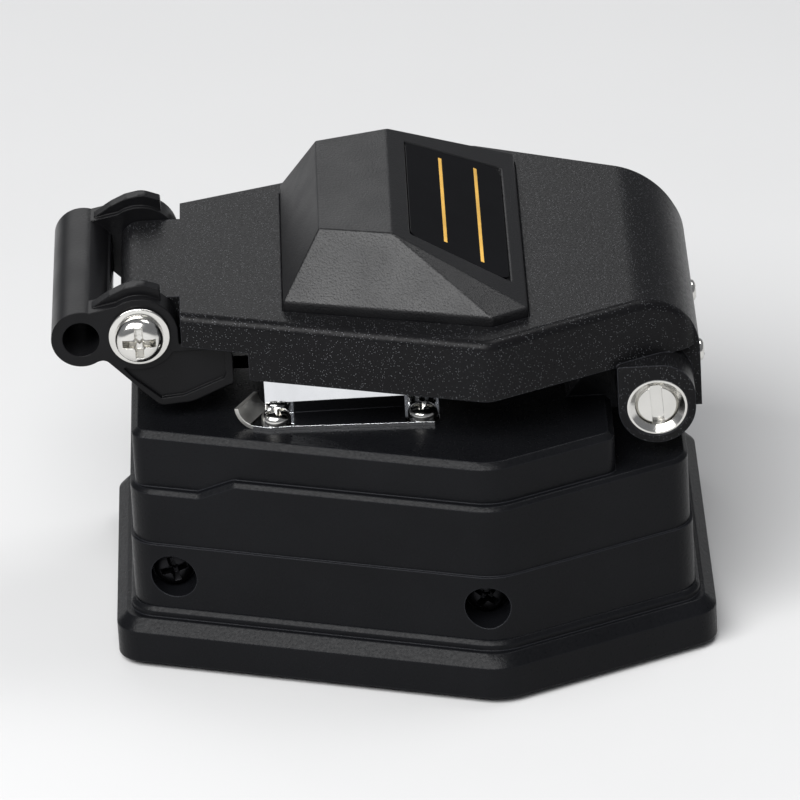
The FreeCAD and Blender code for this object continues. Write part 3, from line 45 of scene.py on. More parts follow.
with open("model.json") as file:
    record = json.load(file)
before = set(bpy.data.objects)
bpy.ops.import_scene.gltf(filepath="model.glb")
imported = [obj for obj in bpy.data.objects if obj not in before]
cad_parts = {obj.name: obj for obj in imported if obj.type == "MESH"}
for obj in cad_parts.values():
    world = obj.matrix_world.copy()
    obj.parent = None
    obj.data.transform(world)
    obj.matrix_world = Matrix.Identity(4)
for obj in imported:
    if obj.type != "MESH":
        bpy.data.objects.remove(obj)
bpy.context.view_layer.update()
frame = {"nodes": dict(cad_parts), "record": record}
MM = 0.001
SLOT_OF = {part["node"]: part["material_slot"] for part in frame["record"]["subparts"]}
BODY_OF = {node: body for body, nodes in frame["record"]["behaviour"]["bodies"].items() for node in nodes}


# Sizes and colours


def tint(label, words, value):
    """A colour that a user may change."""
    return FloatVectorProperty(name=label, description=words, default=value, subtype="COLOR", min=0, max=1)


def length(label, words, millimetres):
    """A size that a user may change."""
    return FloatProperty(
        name=label, description=words, default=millimetres * MM, unit="LENGTH", subtype="DISTANCE", min=0,
    )


class CleaverFinishes(PropertyGroup):
    """Colours of the finishes."""

    paint: tint("Casting paint", "Textured black paint of the base", (0.0040, 0.0042, 0.0050))
    lid_paint: tint("Lid paint", "Satin black paint of the lid", (0.0045, 0.0045, 0.0050))
    plastic: tint("Black plastic", "Moulded latch and cover", (0.0040, 0.0040, 0.0045))
    # The edge tint is partly wear and partly a painted highlight, standing in for light on the chamfers.
    edge_wear_and_highlight: tint("Rubbed and lit edge", "Paint along the edges, lighter from rubbing and a painted highlight", (0.028, 0.029, 0.034))
    label: tint("Label", "Glossy field of the label", (0.002, 0.002, 0.0025))
    gold: tint("Gold rule", "Printed rules of the label", (0.60, 0.35, 0.07))
    nickel: tint("Nickel", "Bright plated screws and rings", (0.74, 0.73, 0.70))
    stainless: tint("Stainless", "Polished sheet", (0.70, 0.71, 0.73))
    # The curl's tint is lighter than the stainless of the same sheet; the lighter tint is a painted
    # highlight, the brushed finish is real.
    curl: tint("Curl", "Brushed curl of the guard", (0.80, 0.79, 0.76))
    steel: tint("Steel", "Machined steel", (0.50, 0.51, 0.53))
    # The side screws' near-black tint is painted shade, standing in for the shade deep in their wells.
    dark_steel: tint("Shaded dark steel", "Side screws deep in their wells", (0.022, 0.022, 0.024))
    aluminium: tint("Aluminium", "Anodised aluminium", (0.66, 0.67, 0.69))
    carbide: tint("Carbide", "Ground blade", (0.33, 0.34, 0.36))
    rubber: tint("Rubber", "Mat and pads", (0.020, 0.020, 0.021))
    floor: tint("Floor", "Plain pale floor", (0.64, 0.64, 0.64))


class CleaverSizes(PropertyGroup):
    """Sizes of the dressed pieces."""

    edge_round: length("Edge round", "Rounding of painted edges", 0.22)
    fine_round: length("Fine round", "Rounding of small metal edges", 0.08)
    camera_distance: length("Camera distance", "From the camera to the middle of the lid", 856.47)


# Materials
# Noise scales are in grains per metre, and depths and radii are lengths.

PAINT_SPECULAR = 0.10
PLASTIC_SPECULAR = 0.14
METAL_SPECULAR = 0.5
PAINT_PATCHES = 90
PLASTIC_PATCHES = 140
METAL_SMUDGES = 260
RUBBER_DUST = 220
RUBBER_GRAIN = 3500
RUBBER_DEPTH = 0.03 * MM
FLOOR_MOTTLE = 25
# The lid's specks are its paint flakes painted as bright glints: a painted highlight.
SPECKS = 4200
SPECK_GLINT_COLOUR = (0.30, 0.31, 0.33)
SPECK_EDGE = (0.10, 0.16)


def new_finish(name, colour, roughness, metallic=0.0, specular=PLASTIC_SPECULAR):
    """A material with its shader set, and the tree to build on."""
    material = bpy.data.materials.new(name)
    material.use_nodes = True
    shader = material.node_tree.nodes["Principled BSDF"]
    shader.inputs["Base Color"].default_value = (*colour, 1)
    shader.inputs["Roughness"].default_value = roughness
    shader.inputs["Metallic"].default_value = metallic
    shader.inputs["Specular IOR Level"].default_value = METAL_SPECULAR if metallic else specular
    return material, material.node_tree, shader


def add_node(tree, kind, values=None, **settings):
    """A node with its settings and its unlinked inputs."""
    node = tree.nodes.new(kind)
    for key, value in settings.items():
        setattr(node, key, value)
    for key, value in (values or {}).items():
        node.inputs[key].default_value = value
    return node


def object_noise(tree, scale, detail=2.0, stretch=(1, 1, 1)):
    """Noise in the object's own space; scale is in grains per metre."""
    place = add_node(tree, "ShaderNodeTexCoord")
    mapping = add_node(tree, "ShaderNodeMapping", {"Scale": stretch})
    noise = add_node(tree, "ShaderNodeTexNoise", {"Scale": scale, "Detail": detail, "Roughness": 0.55})
    tree.links.new(place.outputs["Object"], mapping.inputs["Vector"])
    tree.links.new(mapping.outputs["Vector"], noise.inputs["Vector"])
    return noise


def ramp(tree, source, low, high, from_value=0.3, to_value=0.7):
    """Maps a noise value to numbers between low and high."""
    values = {"From Min": from_value, "From Max": to_value, "To Min": low, "To Max": high}
    node = add_node(tree, "ShaderNodeMapRange", values)
    tree.links.new(source, node.inputs["Value"])
    return node.outputs["Result"]


def blend_colour(tree, factor, first, second):
    """Mixes two colours by a factor; either may be a socket."""
    node = add_node(tree, "ShaderNodeMix", data_type="RGBA")
    tree.links.new(factor, node.inputs[0])
    for socket, value in ((node.inputs[6], first), (node.inputs[7], second)):
        if isinstance(value, bpy.types.NodeSocket):
            tree.links.new(value, socket)
        else:
            socket.default_value = (*value, 1)
    return node.outputs[2]


def rounded_normal(tree, radius):
    """A normal that rounds the edges when it is rendered."""
    return add_node(tree, "ShaderNodeBevel", {"Radius": radius}, samples=6).outputs["Normal"]


def edge_mask(tree, normal):
    """One along the edges, zero on the flats."""
    flat = add_node(tree, "ShaderNodeNewGeometry")
    dot = add_node(tree, "ShaderNodeVectorMath", operation="DOT_PRODUCT")
    tree.links.new(normal, dot.inputs[0])
    tree.links.new(flat.outputs["Normal"], dot.inputs[1])
    return ramp(tree, dot.outputs["Value"], 1.0, 0.0, 0.80, 0.995)


def bump(tree, height, distance, strength, normal=None):
    """Turns a height into a normal, on top of another normal if one is given."""
    node = add_node(tree, "ShaderNodeBump", {"Distance": distance, "Strength": strength})
    tree.links.new(height, node.inputs["Height"])
    if normal is not None:
        tree.links.new(normal, node.inputs["Normal"])
    return node.outputs["Normal"]


def textured_paint(name, colour, edge_wear_and_highlight_colour, roughness, grain, depth, round_radius, flake_glint=0.0):
    """Black paint with a fine grain, edges lighter from rubbing and from a painted highlight, and, on the
    lid, tiny specks painted as bright glints.
    """
    material, tree, shader = new_finish(name, colour, roughness, specular=PAINT_SPECULAR)
    normal = rounded_normal(tree, round_radius)
    mask = edge_mask(tree, normal)
    broad = object_noise(tree, PAINT_PATCHES, 4.0)
    fine = object_noise(tree, grain, 3.0)
    lighter = tuple(1.35 * c for c in colour)
    patchy = blend_colour(tree, ramp(tree, broad.outputs["Fac"], 0, 1), colour, lighter)
    # Painted highlight with wear: the paint is mixed towards a lighter tint along every edge, as light on
    # the chamfers would show.
    rubbed_and_lit = blend_colour(tree, mask, patchy, edge_wear_and_highlight_colour)
    # Painted glints: bright specks of the lid's flakes are mixed into the colour.
    if flake_glint:
        place = add_node(tree, "ShaderNodeTexCoord")
        cells = add_node(tree, "ShaderNodeTexVoronoi", {"Scale": SPECKS})
        tree.links.new(place.outputs["Object"], cells.inputs["Vector"])
        speck_glint = ramp(tree, cells.outputs["Distance"], flake_glint, 0.0, *SPECK_EDGE)
        rubbed_and_lit = blend_colour(tree, speck_glint, rubbed_and_lit, SPECK_GLINT_COLOUR)
    tree.links.new(rubbed_and_lit, shader.inputs["Base Color"])
    uneven = ramp(tree, fine.outputs["Fac"], roughness - 0.07, roughness + 0.09)
    tree.links.new(uneven, shader.inputs["Roughness"])
    tree.links.new(bump(tree, fine.outputs["Fac"], depth, 0.5, normal), shader.inputs["Normal"])
    return material


def moulded_plastic(name, colour, roughness, grain, depth, round_radius, specular=PLASTIC_SPECULAR):
    """Moulded black plastic with a faint grain and soft edges."""
    material, tree, shader = new_finish(name, colour, roughness, specular=specular)
    normal = rounded_normal(tree, round_radius)
    fine = object_noise(tree, grain, 2.0)
    broad = object_noise(tree, PLASTIC_PATCHES, 3.0)
    lighter = tuple(1.5 * c for c in colour)
    patchy = blend_colour(tree, ramp(tree, broad.outputs["Fac"], 0, 1), colour, lighter)
    tree.links.new(patchy, shader.inputs["Base Color"])
    uneven = ramp(tree, broad.outputs["Fac"], roughness - 0.04, roughness + 0.06)
    tree.links.new(uneven, shader.inputs["Roughness"])
    tree.links.new(bump(tree, fine.outputs["Fac"], depth, 0.8, normal), shader.inputs["Normal"])
    return material


def metal(name, colour, roughness, stretch=(1, 1, 1), grain=2500, depth=0.004 * MM, round_radius=0.08 * MM):
    """Metal with faint working marks that run one way where stretch says so."""
    material, tree, shader = new_finish(name, colour, roughness, 1.0)
    normal = rounded_normal(tree, round_radius)
    marks = object_noise(tree, grain, 4.0, stretch)
    smudge = object_noise(tree, METAL_SMUDGES, 3.0)
    duller = tuple(0.88 * c for c in colour)
    smudged = blend_colour(tree, ramp(tree, smudge.outputs["Fac"], 0, 1), duller, colour)
    tree.links.new(smudged, shader.inputs["Base Color"])
    uneven = ramp(tree, smudge.outputs["Fac"], roughness * 0.8, roughness * 1.35)
    tree.links.new(uneven, shader.inputs["Roughness"])
    tree.links.new(bump(tree, marks.outputs["Fac"], depth, 0.35, normal), shader.inputs["Normal"])
    return material


def soft_rubber(name, colour):
    """Matt black rubber with a dusty mottle."""
    material, tree, shader = new_finish(name, colour, 0.82)
    grain = object_noise(tree, RUBBER_GRAIN, 3.0)
    dust = object_noise(tree, RUBBER_DUST, 5.0)
    dusty = tuple(1.8 * c for c in colour)
    mottled = blend_colour(tree, ramp(tree, dust.outputs["Fac"], 0, 1), colour, dusty)
    tree.links.new(mottled, shader.inputs["Base Color"])
    tree.links.new(bump(tree, grain.outputs["Fac"], RUBBER_DEPTH, 0.5), shader.inputs["Normal"])
    return material


FINISHES = {}


def make_finishes(scene):
    """Builds every finish once."""
    colours = scene.cleaver_finishes
    sizes = scene.cleaver_sizes
    edge = sizes.edge_round
    fine = sizes.fine_round
    paint, wear_and_highlight = tuple(colours.paint), tuple(colours.edge_wear_and_highlight)
    lid_paint, plastic = tuple(colours.lid_paint), tuple(colours.plastic)
    label, gold = tuple(colours.label), tuple(colours.gold)
    FINISHES.clear()
    FINISHES.update({
        "black_paint": textured_paint("casting paint", paint, wear_and_highlight, 0.32, 3000, 0.07 * MM, edge),
        "lid_paint": textured_paint("lid paint", lid_paint, wear_and_highlight, 0.33, 3200, 0.06 * MM, edge, flake_glint=0.75),
        "black_plastic": moulded_plastic("latch plastic", plastic, 0.30, 2600, 0.02 * MM, edge),
        "hump_plastic": moulded_plastic("hump plastic", plastic, 0.38, 4200, 0.07 * MM, edge, specular=0.34),
        "label_black": moulded_plastic("label field", label, 0.12, 1800, 0.002 * MM, fine, specular=0.05),
        "gold": moulded_plastic("gold print", gold, 0.35, 1500, 0.002 * MM, fine, specular=0.3),
        # Painted highlight: the curl takes a lighter tint than the rest of its sheet.
        "curl_steel": metal("brushed curl", tuple(colours.curl), 0.42, (1, 0.2, 1), 2600, 0.006 * MM),
        "bright_nickel": metal("bright nickel", tuple(colours.nickel), 0.16),
        "polished_steel": metal(
            "polished stainless", tuple(colours.stainless), 0.07, (1, 0.05, 1), 1800, 0.002 * MM,
        ),
        "machined_steel": metal("machined steel", tuple(colours.steel), 0.32, (1, 0.08, 1), 3000),
        "aluminium": metal("anodised aluminium", tuple(colours.aluminium), 0.38, (1, 1, 1), 4000, 0.01 * MM),
        # Painted shade: the side screws are made near black for the shade in their wells.
        "dark_steel": metal("blackened steel", tuple(colours.dark_steel), 0.45),
        "carbide": metal("ground carbide", tuple(colours.carbide), 0.26, (0.1, 1, 1), 3000),
        "black_rubber": soft_rubber("black rubber", tuple(colours.rubber)),
    })


def dress_nodes(names):
    """Gives CAD pieces the finish that the record's slots name."""
    for node in names:
        mesh = frame["nodes"][node].data
        mesh.materials.clear()
        mesh.materials.append(FINISHES[SLOT_OF[node]])


# Mesh helpers

WELD_DISTANCE = 0.001 * MM
FLAT_ANGLE = 0.5
ROUND_ANGLE = 11.0
CREASE_ANGLE = 32.0
FLAT_WEIGHT = 80
NO_RADIUS = 1e-9


def welded(node):
    """A copy of a node's mesh with its facets joined and its flat faces made whole."""
    form = bmesh.new()
    form.from_mesh(frame["nodes"][node].data)
    bmesh.ops.remove_doubles(form, verts=form.verts, dist=WELD_DISTANCE)
    flat = math.radians(FLAT_ANGLE)
    bmesh.ops.dissolve_limit(form, angle_limit=flat, verts=form.verts, edges=form.edges)
    return form


def shown(form, name, body, slot, finish=None):
    """Turns a bmesh into a piece that rides on a body and takes a finish."""
    mesh = bpy.data.meshes.new(name)
    for face in form.faces:
        face.smooth = True
    form.to_mesh(mesh)
    form.free()
    mesh.materials.append(finish or FINISHES[slot])
    piece = bpy.data.objects.new(name, mesh)
    bpy.context.scene.collection.objects.link(piece)
    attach(piece, body)
    return piece


def soften(piece, width, segments=2, angle=ROUND_ANGLE):
    """Rounds a piece's sharp edges and keeps its flats flat."""
    rounding = piece.modifiers.new("rounding", "BEVEL")
    rounding.width = width
    rounding.segments = segments
    rounding.limit_method = "ANGLE"
    rounding.angle_limit = math.radians(angle)
    rounding.use_clamp_overlap = True
    rounding.miter_outer = "MITER_ARC"
    flats = piece.modifiers.new("flats", "WEIGHTED_NORMAL")
    flats.mode = "FACE_AREA"
    flats.weight = FLAT_WEIGHT
    flats.keep_sharp = True


def placed_form(form, seat, outward, turn=0.0):
    """Stands a form that was built along +Z on a seat, facing outward and turned about its axis."""
    spin = Matrix.Rotation(turn, 4, "Z")
    stand = Vector(outward).to_track_quat("Z", "Y").to_matrix().to_4x4()
    bmesh.ops.transform(form, matrix=Matrix.Translation(seat) @ stand @ spin, verts=form.verts)
    return form


def joined(forms):
    """Several forms in one."""
    whole = bmesh.new()
    for form in forms:
        part = bpy.data.meshes.new("part")
        form.to_mesh(part)
        form.free()
        whole.from_mesh(part)
        bpy.data.meshes.remove(part)
    return whole


def crease_form(form, angle=CREASE_ANGLE):
    """Marks the sharp edges, so that smooth shading stops at them."""
    for edge in form.edges:
        edge.smooth = edge.is_manifold and edge.calc_face_angle(0) < math.radians(angle)
    return form


def lathe(profile, segments=56, ring=False):
    """A closed form of revolution about Z through (radius, height) points; a ring's profile is a loop."""
    form = bmesh.new()
    rows = []
    for radius, height in profile:
        if radius < NO_RADIUS:
            rows.append([form.verts.new((0, 0, height))] * segments)
            continue
        turns = (2 * math.pi * step / segments for step in range(segments))
        rows.append([form.verts.new((radius * math.cos(a), radius * math.sin(a), height)) for a in turns])
    pairs = list(zip(rows, rows[1:])) + ([(rows[-1], rows[0])] if ring else [])
    for low, high in pairs:
        for step in range(segments):
            after = (step + 1) % segments
            corners = dict.fromkeys((low[step], low[after], high[after], high[step]))
            if len(corners) > 2:
                form.faces.new(corners)
    bmesh.ops.recalc_face_normals(form, faces=form.faces)
    return form


def frustum(low, high, bottom, top):
    """A closed block between two outlines, one over the other."""
    form = bmesh.new()
    levels = ((low, bottom), (high, top))
    rings = [[form.verts.new((x, y, z)) for x, y in outline] for outline, z in levels]
    form.faces.new(rings[0])
    form.faces.new(rings[1])
    count = len(low)
    for step in range(count):
        after = (step + 1) % count
        form.faces.new((rings[0][step], rings[0][after], rings[1][after], rings[1][step]))
    bmesh.ops.recalc_face_normals(form, faces=form.faces)
    return form


def oblong(half_length, half_width, turn=0.0):
    """The four corners of a rectangle about the origin."""
    signs = ((1, 1), (-1, 1), (-1, -1), (1, -1))
    corners = [(side * half_length, end * half_width) for side, end in signs]
    sine, cosine = math.sin(turn), math.cos(turn)
    return [(x * cosine - y * sine, x * sine + y * cosine) for x, y in corners]


def carved(form, cutters):
    """Cuts forms out of a form, one after another."""
    scene = bpy.context.scene.collection
    objects = []
    for index, shape in enumerate([form, *cutters]):
        mesh = bpy.data.meshes.new(f"carve_{index}")
        shape.to_mesh(mesh)
        shape.free()
        item = bpy.data.objects.new(f"carve_{index}", mesh)
        scene.objects.link(item)
        objects.append(item)
    for cutter in objects[1:]:
        cut = objects[0].modifiers.new("cut", "BOOLEAN")
        cut.operation = "DIFFERENCE"
        cut.solver = "EXACT"
        cut.object = cutter
    bpy.context.view_layer.update()
    result = bmesh.new()
    result.from_object(objects[0], bpy.context.evaluated_depsgraph_get())
    for item in objects:
        bpy.data.meshes.remove(item.data)
    return result


def solids(node):
    """The lowest and highest corner of each separate solid of a node."""
    form = welded(node)
    left, boxes = set(form.verts), []
    while left:
        island, edge = set(), [left.pop()]
        while edge:
            vert = edge.pop()
            island.add(vert)
            near = {link.other_vert(vert) for link in vert.link_edges} & left
            left -= near
            edge.extend(near)
        low = Vector(min(vert.co[axis] for vert in island) for axis in range(3))
        high = Vector(max(vert.co[axis] for vert in island) for axis in range(3))
        boxes.append((low, high))
    form.free()
    return sorted(boxes, key=lambda box: tuple(box[0]))


def softened_node(name, node, width, segments=2):
    """A node's own form with rounded edges."""
    piece = shown(welded(node), name, BODY_OF[node], SLOT_OF[node])
    soften(piece, width, segments)
    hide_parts(node)
    return piece


# Stage
# Angles are in degrees, and the lens and its sensor in millimetres.
# A lamp's row is its name, its place, its width, its span and its power in watts.

CAMERA_ELEVATION = 26.716
CAMERA_TURN = -0.064
CAMERA_ROLL = 3.1916
CAMERA_TARGET = (0, 3 * MM, 42.5 * MM)
CAMERA_DROP = 17.863 * MM
LENS = 335.0
SENSOR = 36.0
FLOOR_REACH = 3.0
FLOOR_ROUGHNESS = 0.85
FLOOR_SHADE = 0.985
SKY_COLOUR = (0.93, 0.95, 1.0, 1)
SKY_STRENGTH = 0.22
LAMP_TARGET = (0, 0, 30 * MM)
LAMPS = (
    ("key", (0.46, -0.26, 0.62), 0.46, 0.75, 10.0),
    ("top", (-0.15, 0.29, 0.73), 0.30, 0.30, 1.4),
    ("back", (-0.65, -0.15, 0.40), 0.4, 0.5, 0.8),
)


def aim(obj, target):
    """Points an object's -Z axis at a target."""
    obj.rotation_euler = (Vector(target) - obj.location).to_track_quat("-Z", "Y").to_euler()


def soft_lamp(name, place, width, span, watts):
    """A rectangular area lamp, span long and width wide, that faces the part."""
    data = bpy.data.lights.new(name, "AREA")
    data.shape = "RECTANGLE"
    data.size = span
    data.size_y = width
    data.energy = watts
    lamp = bpy.data.objects.new(name, data)
    lamp.location = place
    bpy.context.scene.collection.objects.link(lamp)
    aim(lamp, LAMP_TARGET)


def place_camera(distance):
    """The camera looks along -X, a little from above and a little rolled."""
    elevation, turn, roll = (math.radians(angle) for angle in (CAMERA_ELEVATION, CAMERA_TURN, CAMERA_ROLL))
    level_part = math.cos(elevation)
    forward = Vector((-level_part * math.cos(turn), -level_part * math.sin(turn), -math.sin(elevation)))
    level = Vector((-math.sin(turn), math.cos(turn), 0))
    upright = level.cross(forward)
    right = math.cos(roll) * level - math.sin(roll) * upright
    up = math.cos(roll) * upright + math.sin(roll) * level
    target = Vector(CAMERA_TARGET)
    data = bpy.data.cameras.new("camera")
    data.lens = LENS
    data.sensor_width = SENSOR
    camera = bpy.data.objects.new("camera", data)
    place = target - forward * distance - up * CAMERA_DROP
    camera.matrix_world = Matrix((
        (right.x, up.x, -forward.x, place.x),
        (right.y, up.y, -forward.y, place.y),
        (right.z, up.z, -forward.z, place.z),
        (0, 0, 0, 1),
    ))
    bpy.context.scene.collection.objects.link(camera)
    bpy.context.scene.camera = camera


def lay_floor(colour):
    """A wide pale floor under the mat."""
    mesh = bpy.data.meshes.new("floor")
    signs = ((-1, -1), (1, -1), (1, 1), (-1, 1))
    corners = [(side * FLOOR_REACH, end * FLOOR_REACH, 0) for side, end in signs]
    mesh.from_pydata(corners, [], [(0, 1, 2, 3)])
    material, tree, shader = new_finish("pale floor", colour, FLOOR_ROUGHNESS)
    mottle = object_noise(tree, FLOOR_MOTTLE, 3.0)
    shade = tuple(FLOOR_SHADE * c for c in colour)
    mottled = blend_colour(tree, ramp(tree, mottle.outputs["Fac"], 0, 1), shade, colour)
    tree.links.new(mottled, shader.inputs["Base Color"])
    mesh.materials.append(material)
    floor = bpy.data.objects.new("floor", mesh)
    bpy.context.scene.collection.objects.link(floor)


class CLEAVER_OT_stage(Operator):
    """Sets up the camera, the lamps, the world and the floor."""

    bl_idname = "cleaver.stage"
    bl_label = "Stage"

    def execute(self, context):
        scene = context.scene
        scene.view_settings.view_transform = "Standard"
        place_camera(scene.cleaver_sizes.camera_distance)
        lay_floor(tuple(scene.cleaver_finishes.floor))
        world = bpy.data.worlds.new("studio")
        world.use_nodes = True
        sky = world.node_tree.nodes["Background"]
        sky.inputs["Color"].default_value = SKY_COLOUR
        sky.inputs["Strength"].default_value = SKY_STRENGTH
        scene.world = world
        for name, place, width, span, watts in LAMPS:
            soft_lamp(name, place, width, span, watts)
        return {"FINISHED"}


class CLEAVER_OT_finishes(Operator):
    """Builds the materials."""

    bl_idname = "cleaver.finishes"
    bl_label = "Finishes"

    def execute(self, context):
        make_finishes(context.scene)
        return {"FINISHED"}


# Fasteners
# A row of screws is its node, the axis that they lie along, the side that their heads face,
# the radius and the height of a head, and how far each recess is turned, in degrees.

SCREWS = (
    ("latch_screws", 0, 0, 2.75 * MM, 1.9 * MM, (8, 0)),
    ("guard_screws", 2, 1, 1.7 * MM, 1.3 * MM, (20, -12)),
    ("rear_screws", 1, 1, 1.3 * MM, 0.8 * MM, (35, 10)),
    ("side_screws", 0, 1, 2.3 * MM, 1.5 * MM, (15, 50)),
    ("base_screws", 2, -1, 2.75 * MM, 1.9 * MM, (12, 70, 33, 58)),
)
RING_SIDES = 72
WASHER_BORE = 0.44
WASHER_ROUND = 0.3
DOME_STEPS = 7
DOME_FLAT = 0.42
DOME_FOOT = 0.34


def pan_head(radius, height, reach):
    """A pan-head screw along +Z with its seat at zero and a cross recess."""
    shank = radius * 0.5
    angles = [math.pi / 2 * step / DOME_STEPS for step in range(DOME_STEPS + 1)]
    dome = [
        (radius * (DOME_FLAT + (1 - DOME_FLAT) * math.cos(angle)),
         height * (DOME_FOOT + (1 - DOME_FOOT) * math.sin(angle)))
        for angle in angles
    ]
    foot = [(0, -reach), (shank, -reach), (shank, 0), (radius * 0.965, 0), (radius, height * 0.07)]
    blank = lathe([*foot, *dome, (0, height)])
    over = height * 1.3
    wing, tip = radius * 0.86, radius * 0.42
    half, narrow = radius * 0.21, radius * 0.11
    cutters = [
        frustum(oblong(tip, narrow, turn), oblong(wing, half, turn), height * 0.28, over)
        for turn in (0, math.pi / 2)
    ]
    core = [oblong(size, size, math.pi / 4) for size in (radius * 0.12, radius * 0.37)]
    cutters.append(frustum(core[0], core[1], height * 0.05, over))
    return carved(blank, cutters)


def screw_group(node, axis, outward, radius, height, turns):
    """Every screw of a node, each with its head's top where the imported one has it.

    The heads face along the axis to the side that outward gives, or away from the middle where it is 0.
    """
    forms = []
    for (low, high), turn in zip(solids(node), turns):
        sign = outward or (1 if (low + high)[axis] > 0 else -1)
        middle = (low + high) / 2
        top = high[axis] if sign > 0 else low[axis]
        reach = (high - low)[axis] - height
        seat = middle.copy()
        seat[axis] = top - sign * height
        way = Vector((0, 0, 0))
        way[axis] = sign
        forms.append(placed_form(pan_head(radius, height, reach), seat, way, math.radians(turn)))
    piece = shown(crease_form(joined(forms)), f"{node}_form", BODY_OF[node], SLOT_OF[node])
    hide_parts(node)


def soft_ring(inner, outer, low, high, rounding, steps=3):
    """The loop of a flat ring's section with its four corners rounded."""
    corners = (
        (outer - rounding, low + rounding, -90), (outer - rounding, high - rounding, 0),
        (inner + rounding, high - rounding, 90), (inner + rounding, low + rounding, 180),
    )
    return [
        (across + rounding * math.cos(math.radians(start + 90 * step / steps)),
         up + rounding * math.sin(math.radians(start + 90 * step / steps)))
        for across, up, start in corners for step in range(steps + 1)
    ]


class CLEAVER_OT_screws(Operator):
    """Builds every screw with its recess."""

    bl_idname = "cleaver.screws"
    bl_label = "Screws"

    def execute(self, context):
        for node, axis, outward, radius, height, turns in SCREWS:
            screw_group(node, axis, outward, radius, height, turns)
        return {"FINISHED"}


class CLEAVER_OT_washers(Operator):
    """Builds the washers under the latch screws."""

    bl_idname = "cleaver.washers"
    bl_label = "Washers"

    def execute(self, context):
        forms = []
        for low, high in solids("latch_washers"):
            thick = (high - low).x
            radius = (high - low).y / 2
            middle = (low + high) / 2
            section = soft_ring(radius * WASHER_BORE, radius, -thick / 2, thick / 2, thick * WASHER_ROUND)
            forms.append(placed_form(lathe(section, RING_SIDES, ring=True), middle, (1, 0, 0)))
        whole = crease_form(joined(forms))
        piece = shown(whole, "latch_washers_form", BODY_OF["latch_washers"], "bright_nickel")
        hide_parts("latch_washers")
        return {"FINISHED"}


SHAFT_BEVEL = 0.28 * MM
SLOT_HALF_WIDTH = 0.68 * MM
SLOT_DEPTH = 0.9 * MM
SLOT_TURN = 93
BUSH_CLEARANCE = 0.05 * MM
BUSH_LIP = 0.42 * MM
BUSH_BEVEL = 0.14 * MM
BUSH_DISH = 0.55 * MM


def slotted_shaft(radius, half):
    """The hinge shaft along Z with a straight slot across each end."""
    bevel = SHAFT_BEVEL
    rod = lathe([
        (0, -half), (radius - bevel, -half), (radius, -half + bevel),
        (radius, half - bevel), (radius - bevel, half), (0, half),
    ], RING_SIDES)
    slot = oblong(radius * 1.5, SLOT_HALF_WIDTH)
    ends = ((half - SLOT_DEPTH, half + SLOT_DEPTH), (-half - SLOT_DEPTH, -half + SLOT_DEPTH))
    return carved(rod, [frustum(slot, slot, bottom, top) for bottom, top in ends])


def bush_section(bore, outer, thick):
    """The loop of a bush's section, dished towards the shaft on its outer side."""
    top = thick / 2
    lip = outer - BUSH_LIP
    return [
        (bore, -top), (outer, -top), (outer, top - BUSH_BEVEL),
        (outer - BUSH_BEVEL * 0.3, top - BUSH_BEVEL * 0.3), (outer - BUSH_BEVEL, top),
        (lip + BUSH_BEVEL * 0.6, top), (lip, top - BUSH_BEVEL * 0.5), (bore, top - BUSH_DISH),
    ]


class CLEAVER_OT_hinge(Operator):
    """Builds the slotted hinge shaft and the bushes round it."""

    bl_idname = "cleaver.hinge"
    bl_label = "Hinge"

    def execute(self, context):
        low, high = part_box("hinge_shaft")
        radius, half = (high - low).y / 2, (high - low).x / 2
        rod = placed_form(slotted_shaft(radius, half), (low + high) / 2, (1, 0, 0), math.radians(SLOT_TURN))
        piece = shown(crease_form(rod), "hinge_shaft_form", BODY_OF["hinge_shaft"], SLOT_OF["hinge_shaft"])
        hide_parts("hinge_shaft")
        forms = []
        for low, high in solids("hinge_bushes"):
            side = 1 if low.x > 0 else -1
            section = bush_section(radius + BUSH_CLEARANCE, (high - low).y / 2, (high - low).x)
            forms.append(placed_form(lathe(section, RING_SIDES, ring=True), (low + high) / 2, (side, 0, 0)))
        whole = crease_form(joined(forms))
        piece = shown(whole, "hinge_bushes_form", BODY_OF["hinge_bushes"], SLOT_OF["hinge_bushes"])
        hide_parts("hinge_bushes")
        return {"FINISHED"}


def rounded_corners(points, radius, steps=5):
    """A flat outline with each corner replaced by an arc."""
    outline = []
    count = len(points)
    for index, corner in enumerate(points):
        corner = Vector(corner)
        before = (Vector(points[index - 1]) - corner).normalized()
        after = (Vector(points[(index + 1) % count]) - corner).normalized()
        half = before.angle(after) / 2
        centre = corner + (before + after).normalized() * radius / math.sin(half)
        start = corner + before * radius / math.tan(half) - centre
        end = corner + after * radius / math.tan(half) - centre
        sweep = start.angle_signed(end)
        for step in range(steps + 1):
            outline.append(centre + Matrix.Rotation(-sweep * step / steps, 2) @ start)
    return [tuple(point) for point in outline]


LABEL_THICKNESS = 0.28 * MM
LABEL_CORNER = 1.3 * MM
LABEL_ROUND = 0.05 * MM
LABEL_ROUND_ANGLE = 40
RULE_HALF_WIDTH = 0.21 * MM
RULE_HEIGHT = 0.02 * MM
# A rule's row is its share of the way down, and its right and left reach as shares of the half width.
RULES = ((0.36, 0.82, 0.87), (0.73, 0.88, 0.87))


